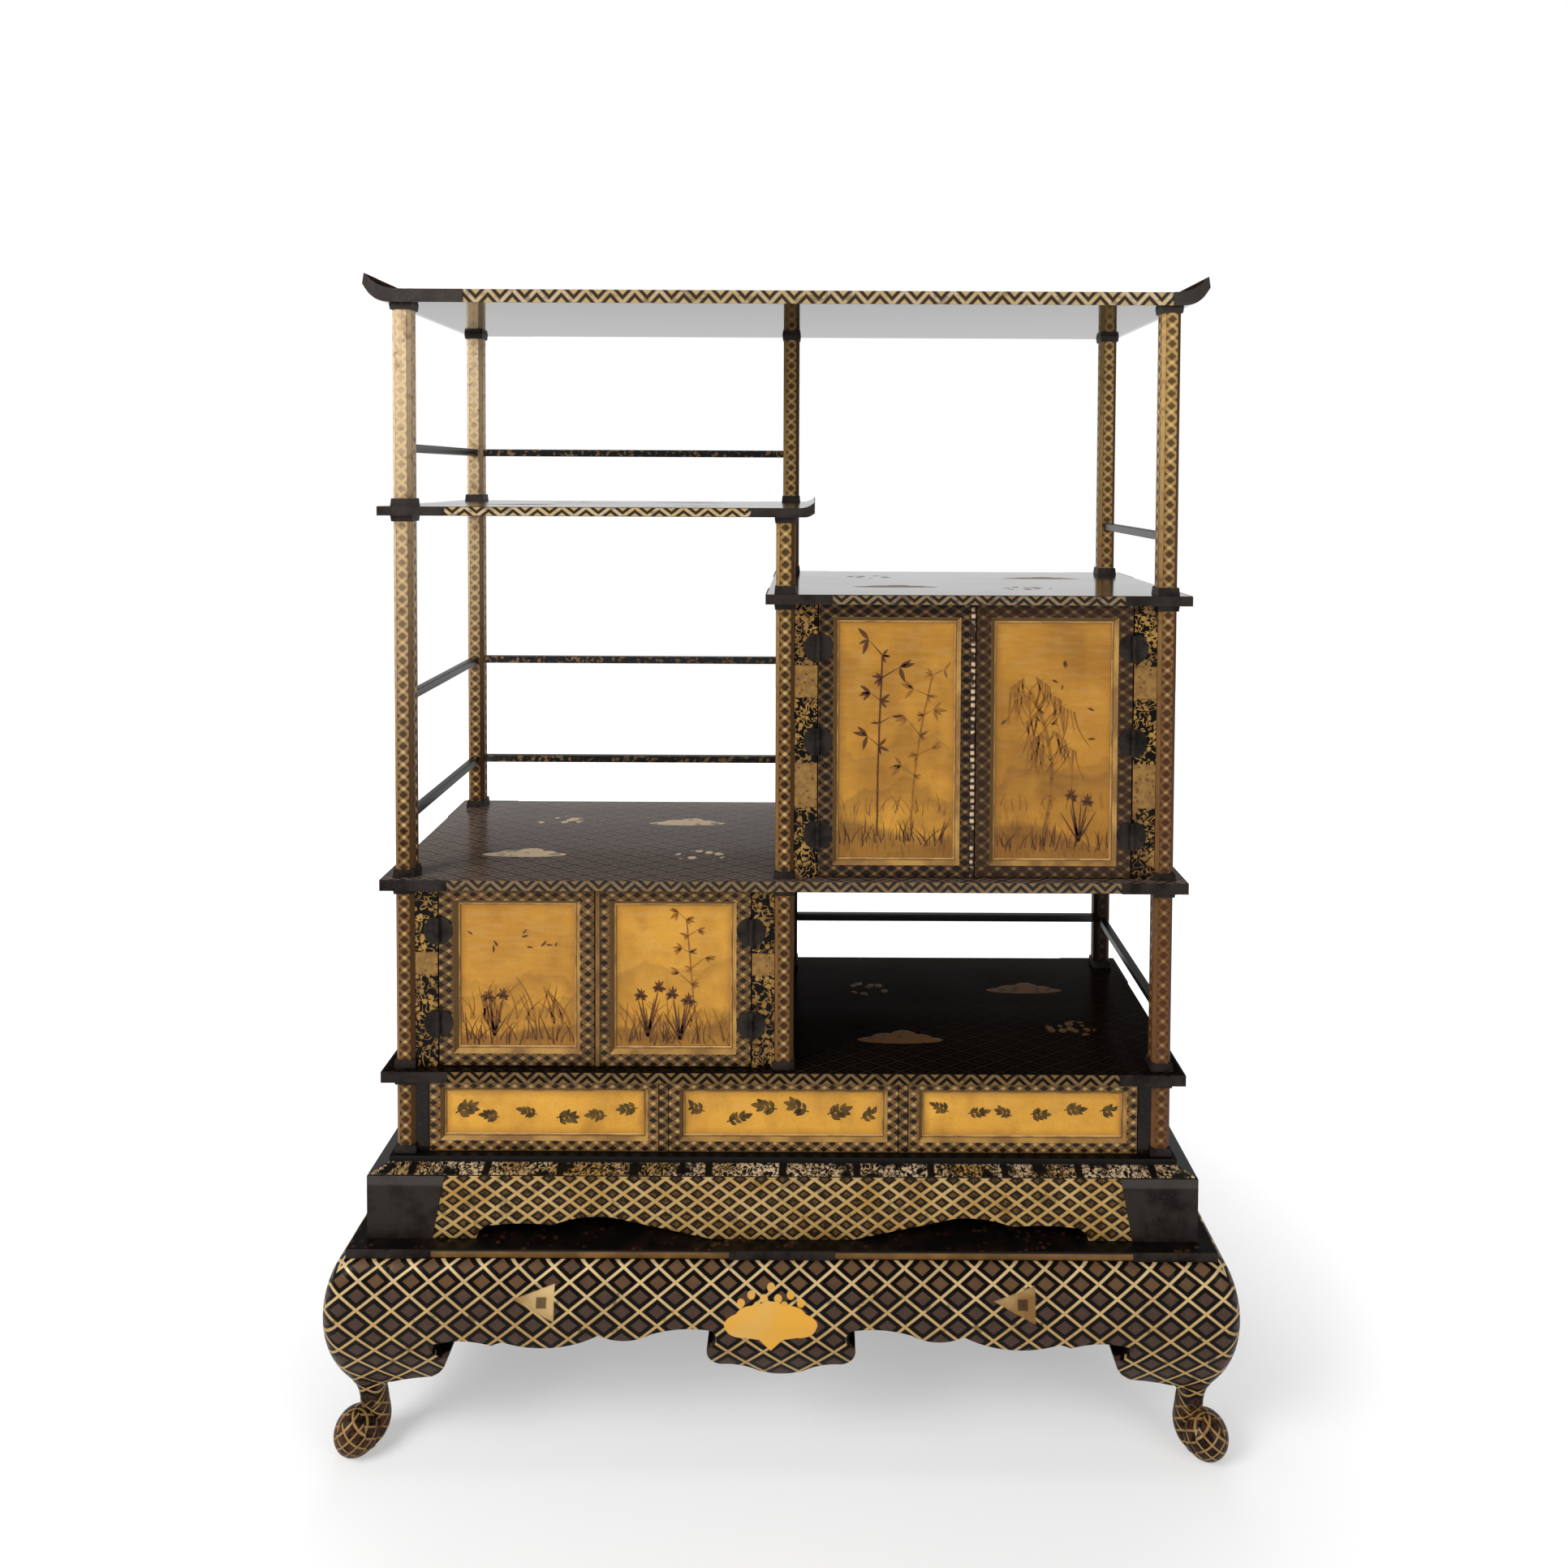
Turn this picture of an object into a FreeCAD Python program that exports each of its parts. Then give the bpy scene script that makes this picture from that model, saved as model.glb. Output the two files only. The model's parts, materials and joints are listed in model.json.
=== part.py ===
import FreeCAD, Part
import math
import os
import re
import Sketcher

# A lacquered display cabinet (open staggered shelves, two cupboards, three drawers) on a swelling stand.
# X runs to the right, Y to the back, Z up; the origin is on the floor under the middle of the stand.

# Driving sizes in millimetres: alias, size, what it measures
SIZES = (
    ("post_pitch_x", 500, "middle post to corner post, centre to centre"),
    ("post_pitch_y", 311, "front post to back post, centre to centre"),
    ("post_side", 25, "post, across its faces"),
    ("post_chamfer", 5, "bevel on the posts' edges"),
    ("stand_height", 274, "floor to the top of the stand's top board"),
    ("stand_board_thick", 12, "stand's top board"),
    ("stand_over_x", 48, "stand's top board past the posts, at the sides"),
    ("stand_over_y", 45, "stand's top board past the posts, front and back"),
    ("apron_bulge", 28, "swell of the aprons and legs past the stand's top board"),
    ("bulge_height", 192, "floor to the fullest line of the swell"),
    ("apron_return", 186, "radius of the swell just below its fullest line"),
    ("apron_set_in", 16, "aprons' flat inner face, in from the stand board's edge"),
    ("apron_edge", 168, "floor to the aprons' lower edge"),
    ("leg_seam", 60, "legs' reach in from the stand board's corner"),
    ("knee_round", 26, "rounding of the legs' outer edge at the knee"),
    ("bracket_foot", 104, "floor to the underside of the brackets beside the legs"),
    ("bracket_reach", 76, "bracket's tip, past the leg's seam"),
    ("pendant_tip", 125, "floor to the lowest point of the front pendant"),
    ("pendant_half", 94, "half width of the front pendant"),
    ("ankle_height", 60, "floor to the deepest place of the leg's outer curve"),
    ("ankle_set_in", 8.5, "leg's outer curve there, in from the stand board's edge"),
    ("ankle_side", 33, "leg's thickness at the ankle"),
    ("foot_radius", 28.5, "ball of the foot"),
    ("foot_set_in", 8.5, "centre of the foot's ball, in from the stand board's corner"),
    ("foot_flat", 1, "cut off under the foot's ball, where it stands"),
    ("plinth_height", 83, "plinth boards"),
    ("plinth_thick", 16, "plinth boards"),
    ("plinth_over_x", 28.5, "plinth past the posts, at the sides"),
    ("plinth_over_y", 24, "plinth past the posts, front and back"),
    ("plinth_arch", 29, "height of the plinth's cut-outs"),
    ("cornice_height", 16, "cornice board"),
    ("cornice_lip", 2, "upright edge under the cornice's slope"),
    ("cornice_strip", 8, "plain upper strip of the cornice"),
    ("cornice_over", 7, "plain upper strip past the posts"),
    ("drawer_tier_height", 99.5, "drawer tier, cornice to lower board"),
    ("lower_tier_height", 240, "lower board to middle board"),
    ("upper_cupboard_height", 363, "middle board to the right cupboard's top board"),
    ("small_shelf_rise", 100, "right cupboard's top board to the small shelf"),
    ("top_bay_height", 263, "small shelf to top board"),
    ("shelf_thick", 14.5, "lower and middle boards"),
    ("cupboard_top_thick", 13, "right cupboard's top board"),
    ("small_shelf_thick", 12, "small left shelf"),
    ("top_board_thick", 17, "top board"),
    ("board_over_side", 15, "boards past the posts, at the sides"),
    ("board_over_front", 10, "boards past the posts, front and back"),
    ("board_end_over", 12, "boards past the middle posts"),
    ("top_over_side", 31.5, "top board's tips past the posts"),
    ("top_tip_rise", 21, "rise of the top board's upturned tips"),
    ("top_tip_run", 66, "length of the top board's upturned ends"),
    ("shelf_tip_over", 24.5, "small shelf's upturned tip past the middle post"),
    ("shelf_tip_rise", 7, "rise of the small shelf's upturned tip"),
    ("shelf_tip_run", 18, "length of the small shelf's upturned end"),
    ("rail_side", 11, "rails of the open bays"),
    ("rail_rise", 76, "board to the middle of the rail above it"),
    ("high_rail_rise", 235, "middle board to the middle of the upper left rails"),
    ("panel_thick", 12, "side and back panels"),
    ("face_set_back", 4, "stiles, doors and drawers behind the posts' faces"),
    ("face_thick", 16, "stiles, door frames and drawer fronts"),
    ("stile_width", 30, "fixed stiles beside the doors"),
    ("door_gap", 1.5, "play round the doors"),
    ("door_stile", 24, "upright members of the door frames"),
    ("door_rail", 21, "level members of the door frames"),
    ("door_bevel", 5, "bevel round the doors' panels"),
    ("panel_recess", 7, "door and drawer panels behind their frames' faces"),
    ("hinge_height", 36, "hinge leaves"),
    ("hinge_width", 19, "hinge pin to the leaf's free edge"),
    ("hinge_thick", 1.5, "hinge leaves"),
    ("knuckle_radius", 3, "hinge knuckles"),
    ("pin_radius", 1.5, "hinge pins"),
    ("pin_play", 0.05, "pin in its moving knuckle"),
    ("hinge_play", 0.3, "between hinge pieces that pass each other"),
    ("hinge_end", 58, "middle of the outer hinges from the cupboard's floor or top"),
    ("lining_thick", 17, "side linings of the drawer tier"),
    ("divider_thick", 12, "boards between the drawers"),
    ("drawer_gap", 1, "play beside and over the drawers"),
    ("drawer_lift", 0.3, "play under the drawers"),
    ("drawer_frame", 18, "members of the drawer fronts"),
    ("drawer_bevel", 4, "bevel round the drawers' panels"),
    ("drawer_depth", 285, "drawer boxes, front to back"),
    ("drawer_wall", 10, "walls of the drawer boxes"),
    ("drawer_floor", 7, "bottoms of the drawer boxes"),
    ("drawer_drop", 12, "drawer boxes lower than their fronts"),
    ("collar_height", 8, "metal collars under the boards"),
    ("shoe_height", 10, "metal shoes on the boards"),
    ("collar_flare", 2, "collars and shoes past the post at the board"),
    ("collar_wall", 1, "collars and shoes past the post at their thin end"),
    ("mount_thick", 1, "metal corner mounts"),
    ("board_mount_run", 86, "metal mounts along the boards' edges"),
    ("top_mount_left", 128, "metal mounts along the top board's edges, at its left end"),
    ("top_mount_right", 46, "metal mounts along the top board's edges, at its right end"),
    ("shelf_mount_run", 82, "metal mounts along the small shelf's edges, at its upturned end"),
    ("tip_mount_wrap", 45, "metal mounts round the upturned tips"),
    ("stand_mount_run", 108, "metal mounts along the stand's edge"),
    ("centre_mount_half", 68, "half length of the stand's centre mounts"),
    ("plinth_mount_foot", 84, "plinth's corner mounts, along their lower edge"),
    ("plinth_mount_head", 100, "plinth's corner mounts, along their upper edge"),
)
ALIASES = {alias for alias, size, note in SIZES}

# Levels, as formulas on the driving sizes: a board's underside ends in Z, its upper face in TOP
CORNICE_Z = "stand_height + plinth_height"
CASE_Z = CORNICE_Z + " + cornice_height"
LOWER_Z = CASE_Z + " + drawer_tier_height"
LOWER_TOP = LOWER_Z + " + shelf_thick"
MIDDLE_Z = LOWER_TOP + " + lower_tier_height"
MIDDLE_TOP = MIDDLE_Z + " + shelf_thick"
CUPBOARD_Z = MIDDLE_TOP + " + upper_cupboard_height"
CUPBOARD_TOP = CUPBOARD_Z + " + cupboard_top_thick"
SMALL_Z = CUPBOARD_TOP + " + small_shelf_rise"
SMALL_TOP = SMALL_Z + " + small_shelf_thick"
TOP_Z = SMALL_TOP + " + top_bay_height"

# Distances from the middle of the cabinet, as formulas
OUT_X = "(post_pitch_x + post_side / 2)"
IN_X = "(post_pitch_x - post_side / 2)"
OUT_Y = "(post_pitch_y / 2 + post_side / 2)"
IN_Y = "(post_pitch_y / 2 - post_side / 2)"
FACE_Y = f"({OUT_Y} - face_set_back)"
FACE_BACK_Y = f"({FACE_Y} - face_thick)"
BOARD_Y = f"({OUT_Y} + board_over_front)"
PANEL_LOW_Y = "(post_pitch_y / 2 - panel_thick / 2)"
PANEL_HIGH_Y = "(post_pitch_y / 2 + panel_thick / 2)"

BOTH = (-1, 1)
# Where the shoulder of the stand's swell leaves the top board, in degrees of its ellipse
SHOULDER_START = 10
# The leg's inner edge down to the ankle: share of the drop, then ankles from the ankle's outer edge
ANKLE_INNER = ((0.14, 1.32), (0.29, 1.1), (0.48, 0.99), (0.67, 0.96), (0.87, 0.98), (1, 1))
# Its sweep round the foot's ball: height in balls, then outer and inner edge in ankles, measured as above
SCROLL = ((0.9, 0.03, 1.02), (0.74, 0.07, 1.05), (0.54, 0.1, 1.07),
          (0.35, 0.08, 1.04), (0.18, 0.02, 0.9), (0.05, -0.1, 0.66))
# Middle of one drawer to the middle of the next: three drawers and two dividers fill the lined tier
DRAWER_PITCH = f"(2 * ({IN_X} - lining_thick) + divider_thick) / 3"


def formula(text):
    """The formula with the sheet's name put before each of its aliases."""
    return re.sub(r"[a-z]\w*", lambda word: f"sizes.{word[0]}" if word[0] in ALIASES else word[0], text)


def bind(thing, prop, text):
    thing.setExpression(prop, formula(text))


def write_sheet(doc):
    sheet = doc.addObject("Spreadsheet::Sheet", "sizes")
    for row, (alias, size, note) in enumerate(SIZES, start=1):
        sheet.set(f"A{row}", note)
        sheet.set(f"B{row}", str(size))
        sheet.setAlias(f"B{row}", alias)
    doc.recompute()
    return sheet


class Sizes:
    """The sheet's cells by name, for outlines that are worked out point by point."""

    def __init__(self, sheet):
        self.sheet = sheet

    def __getattr__(self, alias):
        return float(self.sheet.get(alias))


def named(thing, label):
    thing.Label = label
    return thing


def place(thing, x="0", y="0", z="0"):
    for axis, text in zip("xyz", (x, y, z)):
        bind(thing, f"Placement.Base.{axis}", text)


def box(doc, label, x, y, z):
    """A plain board between three pairs of formulas."""
    board = named(doc.addObject("Part::Box", label), label)
    for prop, (low, high) in zip(("Length", "Width", "Height"), (x, y, z)):
        bind(board, prop, f"({high}) - ({low})")
    place(board, x[0], y[0], z[0])
    return board


def group(doc, label, solids):
    pieces = named(doc.addObject("Part::Compound", label), label)
    pieces.Links = solids
    return pieces


def fuse(doc, label, solids):
    whole = named(doc.addObject("Part::MultiFuse", label), label)
    whole.Shapes = solids
    return whole


def cut(doc, label, base, tools):
    left = named(doc.addObject("Part::Cut", label), label)
    left.Base = base
    left.Tool = tools[0] if len(tools) == 1 else group(doc, f"{label}_cutters", tools)
    return left


def new_body(doc, label):
    return named(doc.addObject("PartDesign::Body", label), label)


def new_sketch(body, name, role, lift="0"):
    """A sketch on one of the body's own origin planes, lifted off it along the plane's normal."""
    sketch = body.newObject("Sketcher::SketchObject", f"{body.Name}_{name}")
    plane = next(feature for feature in body.Origin.OriginFeatures if feature.Role == role)
    sketch.AttachmentSupport = [(plane, "")]
    sketch.MapMode = "FlatFace"
    bind(sketch, "AttachmentOffset.Base.z", lift)
    return sketch


def rectangle(sketch, across, up):
    """A rectangle held by two pairs of formulas."""
    first = sketch.GeometryCount
    corners = [FreeCAD.Vector(x, y, 0) for x, y in ((0, 0), (1, 0), (1, 1), (0, 1))]
    for start, end in zip(corners, corners[1:] + corners[:1]):
        sketch.addGeometry(Part.LineSegment(start, end))
    for side in range(4):
        sketch.addConstraint(Sketcher.Constraint("Coincident", first + side, 2, first + (side + 1) % 4, 1))
        level = "Vertical" if side % 2 else "Horizontal"
        sketch.addConstraint(Sketcher.Constraint(level, first + side))
    for kind, side, text in (
        ("DistanceX", 3, across[0]),
        ("DistanceX", 1, across[1]),
        ("DistanceY", 0, up[0]),
        ("DistanceY", 2, up[1]),
    ):
        held = sketch.addConstraint(Sketcher.Constraint(kind, -1, 1, first + side, 1, 1.0))
        sketch.setExpression(f"Constraints[{held}]", formula(text))


def vector(point):
    return FreeCAD.Vector(point[0], point[1], 0)


def lines(sketch, points):
    for start, end in zip(points, points[1:]):
        sketch.addGeometry(Part.LineSegment(vector(start), vector(end)))


def arcs(sketch, points):
    """Arcs through points given as end, middle, end, middle, end."""
    for start, middle, end in zip(points[:-2:2], points[1:-1:2], points[2::2]):
        sketch.addGeometry(Part.Arc(vector(start), vector(middle), vector(end)))


def pad(body, sketch, length, reverse=False, both_sides=False):
    feature = body.newObject("PartDesign::Pad", f"{sketch.Name}_pad")
    feature.Profile = sketch
    feature.Reversed = reverse
    if both_sides:
        feature.SideType = "Symmetric"
    bind(feature, "Length", length)
    return feature


def pocket_through(body, sketch):
    feature = body.newObject("PartDesign::Pocket", f"{sketch.Name}_cut")
    feature.Profile = sketch
    feature.SideType = "Symmetric"
    feature.Type = "ThroughAll"
    return feature


def bevel(body, feature, edges, size):
    bevelled = body.newObject("PartDesign::Chamfer", f"{body.Name}_bevel")
    bevelled.Base = (feature, edges)
    bind(bevelled, "Size", size)
    return bevelled


def mirrored(points):
    return [(-x, y) for x, y in reversed(points)]


def make_posts(doc):
    corners = [(f"{depth}_{side}_post", x, y) for depth, y in zip(("front", "back"), BOTH)
               for side, x in zip(("left", "right"), BOTH)]
    runs = [(label, x, y, CASE_Z, TOP_Z) for label, x, y in corners]
    runs.append(("front_middle_post", 0, -1, LOWER_TOP, SMALL_Z))
    runs.append(("back_middle_post", 0, 1, LOWER_TOP, TOP_Z))
    posts = {}
    pads = {}
    for label, x, y, low, high in runs:
        body = new_body(doc, label)
        section = new_sketch(body, "section", "XY_Plane")
        half = ("-post_side / 2", "post_side / 2")
        rectangle(section, half, half)
        pads[label] = pad(body, section, f"({high}) - ({low})")
        place(body, f"{x} * post_pitch_x", f"{y} * post_pitch_y / 2", low)
        posts[label] = body
    doc.recompute()
    for label, body in posts.items():
        upright = [f"Edge{number}" for number, edge in enumerate(pads[label].Shape.Edges, start=1)
                   if abs(edge.tangentAt(edge.FirstParameter).z) > 0.5]
        bevel(body, pads[label], upright, "post_chamfer")
    return posts


def rising_end(flat, tip):
    """Middle and end of an arc that leaves a flat run level at one point and climbs to a tip."""
    run = tip[0] - flat[0]
    rise = tip[1] - flat[1]
    radius = (run * run + rise * rise) / (2 * rise)
    angle = math.atan2(rise, abs(run))
    middle = (flat[0] + math.copysign(radius * math.sin(angle), run),
              flat[1] + radius * (1 - math.cos(angle)))
    return [flat, middle, tip]


def rising_height(flat, tip, x):
    """Height of such an arc at a place between its level start and its tip."""
    run = tip[0] - flat[0]
    rise = tip[1] - flat[1]
    radius = (run * run + rise * rise) / (2 * rise)
    return flat[1] + radius - math.sqrt(radius ** 2 - (x - flat[0]) ** 2)


def top_ends(size):
    """Under and upper side of the top board's right end."""
    half = size.post_pitch_x + size.post_side / 2 + size.top_over_side
    thick = size.top_board_thick
    under = rising_end((half - size.top_tip_run * 0.65, 0), (half, size.top_tip_rise * 0.6))
    upper_tip = (half - size.top_tip_rise * 0.1, thick + size.top_tip_rise)
    upper = rising_end((half - size.top_tip_run, thick), upper_tip)
    return under, upper


def shelf_ends(size):
    """Under and upper side of the small shelf's right end."""
    tip = size.post_side / 2 + size.shelf_tip_over
    thick = size.small_shelf_thick
    under = rising_end((tip - size.shelf_tip_run * 0.7, 0), (tip, size.shelf_tip_rise * 0.7))
    upper = rising_end((tip - size.shelf_tip_run, thick), (tip, thick + size.shelf_tip_rise))
    return under, upper


def make_top_board(doc, size):
    under, upper = top_ends(size)
    body = new_body(doc, "top_board")
    profile = new_sketch(body, "profile", "XZ_Plane")
    for sign in BOTH:
        side = [[(sign * x, z) for x, z in run] for run in (under, upper)]
        arcs(profile, side[0])
        arcs(profile, side[1])
        lines(profile, [side[0][-1], side[1][-1]])
    for run in (under, upper):
        lines(profile, [(-run[0][0], run[0][1]), run[0]])
    pad(body, profile, f"2 * {BOARD_Y}", both_sides=True)
    place(body, z=TOP_Z)
    return body


def make_small_shelf(doc, size, posts):
    """The small left shelf, whose right end turns up past the middle post."""
    left = -(size.post_pitch_x + size.post_side / 2 + size.board_over_side)
    under, upper = shelf_ends(size)
    body = new_body(doc, "small_shelf_blank")
    profile = new_sketch(body, "profile", "XZ_Plane")
    arcs(profile, under)
    arcs(profile, upper)
    lines(profile, [under[-1], upper[-1]])
    lines(profile, [upper[0], (left, upper[0][1]), (left, under[0][1]), under[0]])
    pad(body, profile, f"2 * {BOARD_Y}", both_sides=True)
    place(body, z=SMALL_Z)
    through = [posts[name] for name in ("front_left_post", "back_left_post", "back_middle_post")]
    return cut(doc, "small_left_shelf", body, through)


def make_boards(doc, size, posts):
    corner = [posts[f"{depth}_{side}_post"] for depth in ("front", "back") for side in ("left", "right")]
    middle = [posts["front_middle_post"], posts["back_middle_post"]]
    right = [posts["front_right_post"], posts["back_right_post"]]
    wide = (f"-({OUT_X} + board_over_side)", f"{OUT_X} + board_over_side")
    deep = (f"-{BOARD_Y}", BOARD_Y)
    lower = box(doc, "lower_board_blank", wide, deep, (LOWER_Z, LOWER_TOP))
    centre = box(doc, "middle_board_blank", wide, deep, (MIDDLE_Z, MIDDLE_TOP))
    top_span = ("-(post_side / 2 + board_end_over)", wide[1])
    cupboard_top = box(doc, "cupboard_top_blank", top_span, deep, (CUPBOARD_Z, CUPBOARD_TOP))
    return [
        cut(doc, "lower_board", lower, corner),
        cut(doc, "middle_board", centre, corner + middle),
        cut(doc, "right_cupboard_top", cupboard_top, middle + right),
        make_small_shelf(doc, size, posts),
        make_top_board(doc, size),
    ]


def make_rails(doc):
    """Slender rails round the open bays, between the posts."""
    across = ("post_pitch_y / 2 - rail_side / 2", "post_pitch_y / 2 + rail_side / 2")
    left_bay = (f"-{IN_X}", "-post_side / 2")
    right_bay = ("post_side / 2", IN_X)
    low_left = f"{SMALL_TOP} + rail_rise"
    back = (
        ("small_shelf", left_bay, low_left),
        ("left_high", left_bay, f"{MIDDLE_TOP} + high_rail_rise"),
        ("left_low", left_bay, f"{MIDDLE_TOP} + rail_rise"),
        ("right_low", right_bay, f"{LOWER_TOP} + rail_rise"),
    )
    sides = (
        ("small_shelf", -1, low_left),
        ("left_high", -1, f"{MIDDLE_TOP} + high_rail_rise"),
        ("left_low", -1, f"{MIDDLE_TOP} + rail_rise"),
        ("right_high", 1, f"{CUPBOARD_TOP} + rail_rise"),
        ("right_low", 1, f"{LOWER_TOP} + rail_rise"),
    )
    half = "rail_side / 2"
    back_rails = [box(doc, f"back_rail_{name}", bay, across, (f"{level} - {half}", f"{level} + {half}"))
                  for name, bay, level in back]
    side_rails = []
    for name, sign, level in sides:
        centre = f"{sign} * post_pitch_x"
        side_rails.append(box(doc, f"side_rail_{name}", (f"{centre} - {half}", f"{centre} + {half}"),
                              (f"-{IN_Y}", IN_Y), (f"{level} - {half}", f"{level} + {half}")))
    return [group(doc, "back_rails", back_rails), group(doc, "side_rails", side_rails)]


def make_cornice(doc):
    """The sloping cornice board, the floor of the drawer tier."""
    lip_top = f"{CORNICE_Z} + cornice_lip"
    strip_low = f"{CASE_Z} - cornice_strip"
    outer = (f"({OUT_X} + plinth_over_x)", f"({OUT_Y} + plinth_over_y)")
    inner = (f"({OUT_X} + cornice_over)", f"({OUT_Y} + cornice_over)")
    lip = box(doc, "cornice_lip_board", *[(f"-{reach}", reach) for reach in outer], (CORNICE_Z, lip_top))
    strip = box(doc, "cornice_strip_board", *[(f"-{reach}", reach) for reach in inner], (strip_low, CASE_Z))
    slope = doc.addObject("Part::Wedge", "cornice_slope")
    for axis, low, high in zip("XZ", outer, inner):
        for end, reach in (("", low), ("2", high)):
            bind(slope, f"{axis}{end}min", f"-{reach}")
            bind(slope, f"{axis}{end}max", reach)
    bind(slope, "Ymin", "0")
    bind(slope, "Ymax", "cornice_height - cornice_lip - cornice_strip")
    slope.Placement = FreeCAD.Placement(FreeCAD.Vector(), FreeCAD.Rotation(FreeCAD.Vector(1, 0, 0), 90))
    place(slope, z=lip_top)
    return fuse(doc, "plinth_cornice", [lip, slope, strip])


def plinth_edge(outer, arch):
    """Lower edge of a plinth board from a cut-out's outer end: low cusp, high arch, long tail."""
    return [
        (-outer, 0), (-0.985 * outer, 0.4 * arch), (-0.96 * outer, 0.58 * arch),
        (-0.85 * outer, 0.68 * arch), (-0.75 * outer, 0.62 * arch),
        (-0.66 * outer, 0.95 * arch), (-0.56 * outer, 0.98 * arch),
        (-0.4 * outer, 0.5 * arch), (-0.23 * outer, 0),
    ]


def plinth_board(doc, label, outer, half, arch, height, role, lift, reverse):
    """A plinth board with two cusped cut-outs, mirrored about its middle."""
    body = new_body(doc, label)
    outline = new_sketch(body, "outline", role, lift)
    edge = plinth_edge(outer, arch)
    arcs(outline, edge)
    arcs(outline, mirrored(edge))
    lines(outline, [edge[-1], mirrored(edge)[0]])
    lines(outline, [edge[0], (-half, 0), (-half, height), (half, height), (half, 0), mirrored(edge)[-1]])
    pad(body, outline, "plinth_thick", reverse=reverse)
    place(body, z="stand_height")
    return body


def make_plinth(doc, size):
    half_x = size.post_pitch_x + size.post_side / 2 + size.plinth_over_x
    half_y = size.post_pitch_y / 2 + size.post_side / 2 + size.plinth_over_y
    between = half_y - size.plinth_thick
    reach_x = f"({OUT_X} + plinth_over_x)"
    reach_y = f"({OUT_Y} + plinth_over_y)"
    outer_x, outer_y = [0.875 * (half - size.plinth_mount_foot) for half in (half_x, half_y)]
    shape = (size.plinth_arch, size.plinth_height)
    front = plinth_board(doc, "plinth_front_board", outer_x, half_x, *shape, "XZ_Plane", reach_y, True)
    back = plinth_board(doc, "plinth_back_board", outer_x, half_x, *shape, "XZ_Plane", f"-{reach_y}", False)
    left = plinth_board(doc, "plinth_left_board", outer_y, between, *shape, "YZ_Plane", f"-{reach_x}", False)
    right = plinth_board(doc, "plinth_right_board", outer_y, between, *shape, "YZ_Plane", reach_x, True)
    return [front, back, group(doc, "plinth_side_boards", [left, right]), make_cornice(doc)]


def shoulder_point(size, angle):
    """Reach past the stand board's edge and height on the swell's shoulder, 90 at its fullest line."""
    top = size.stand_height - size.stand_board_thick
    turn = math.radians(angle)
    climb = (top - size.bulge_height) / math.cos(math.radians(SHOULDER_START))
    return size.apron_bulge * math.sin(turn), size.bulge_height + climb * math.cos(turn)


def ankle_radius(size):
    """Radius of the hollow curve that carries the swell's lower curve on to the ankle."""
    fall = size.bulge_height - size.ankle_height
    draw_in = size.apron_bulge + size.ankle_set_in
    return (fall ** 2 + draw_in ** 2) / (2 * draw_in) - size.apron_return


def turning_height(size):
    """Height at which the swell's full curve turns into the hollow curve."""
    share = size.apron_return / (size.apron_return + ankle_radius(size))
    return size.bulge_height - share * (size.bulge_height - size.ankle_height)


def swell(size, height):
    """How far the aprons and legs stand out past the stand board's edge at a height."""
    above = height - size.bulge_height
    if above > 0:
        climb = shoulder_point(size, 0)[1] - size.bulge_height
        return size.apron_bulge * math.sqrt(1 - (above / climb) ** 2)
    if height > turning_height(size):
        return size.apron_bulge - size.apron_return + math.sqrt(size.apron_return ** 2 - above ** 2)
    hollow = ankle_radius(size)
    return hollow - size.ankle_set_in - math.sqrt(hollow ** 2 - (height - size.ankle_height) ** 2)


def bracket_edge(size, seam):
    """Outline of the bracket beside a leg: underside, tip and notch, in from the leg's seam."""
    reach = size.bracket_reach
    foot = size.bracket_foot
    rise = size.apron_edge - foot
    return [
        (seam, foot), (seam + 0.35 * reach, foot + 0.12 * rise), (seam + 0.7 * reach, foot + 0.18 * rise),
        (seam + 0.9 * reach, foot + 0.4 * rise), (seam + reach, foot + 0.72 * rise),
        (seam + 0.83 * reach, foot + 0.77 * rise), (seam + 0.71 * reach, foot + rise),
    ]


def long_edge(size, seam):
    """Lower edge of a front or back apron, from the bracket's notch to the pendant in the middle."""
    edge = size.apron_edge
    half = size.pendant_half
    drop = edge - size.pendant_tip
    notch = seam + 0.71 * size.bracket_reach
    run = -half - notch
    return [
        (notch + 0.09 * run, edge + 6), (notch + 0.225 * run, edge),
        (notch + 0.245 * run, edge + 3), (notch + 0.265 * run, edge + 5),
        (notch + 0.43 * run, edge - 3), (notch + 0.61 * run, edge + 15),
        (notch + 0.68 * run, edge + 8), (notch + 0.8 * run, edge + 17),
        (notch + 0.92 * run, edge + 24), (-0.95 * half, edge + 22),
        (-0.87 * half, edge + 10), (-half, edge - 2),
        (-0.97 * half, edge - 0.4 * drop), (-0.78 * half, edge - 0.61 * drop),
        (-0.5 * half, edge - 0.68 * drop), (-0.3 * half, edge - 0.88 * drop),
        (0, edge - drop),
    ]


def short_edge(size, seam):
    """Lower edge of a side apron, from the bracket's notch to a small drop in the middle."""
    edge = size.apron_edge
    notch = seam + 0.71 * size.bracket_reach
    return [
        (0.6 * notch, edge + 8), (0.24 * notch, edge + 5),
        (0, edge - 16),
    ]


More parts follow.
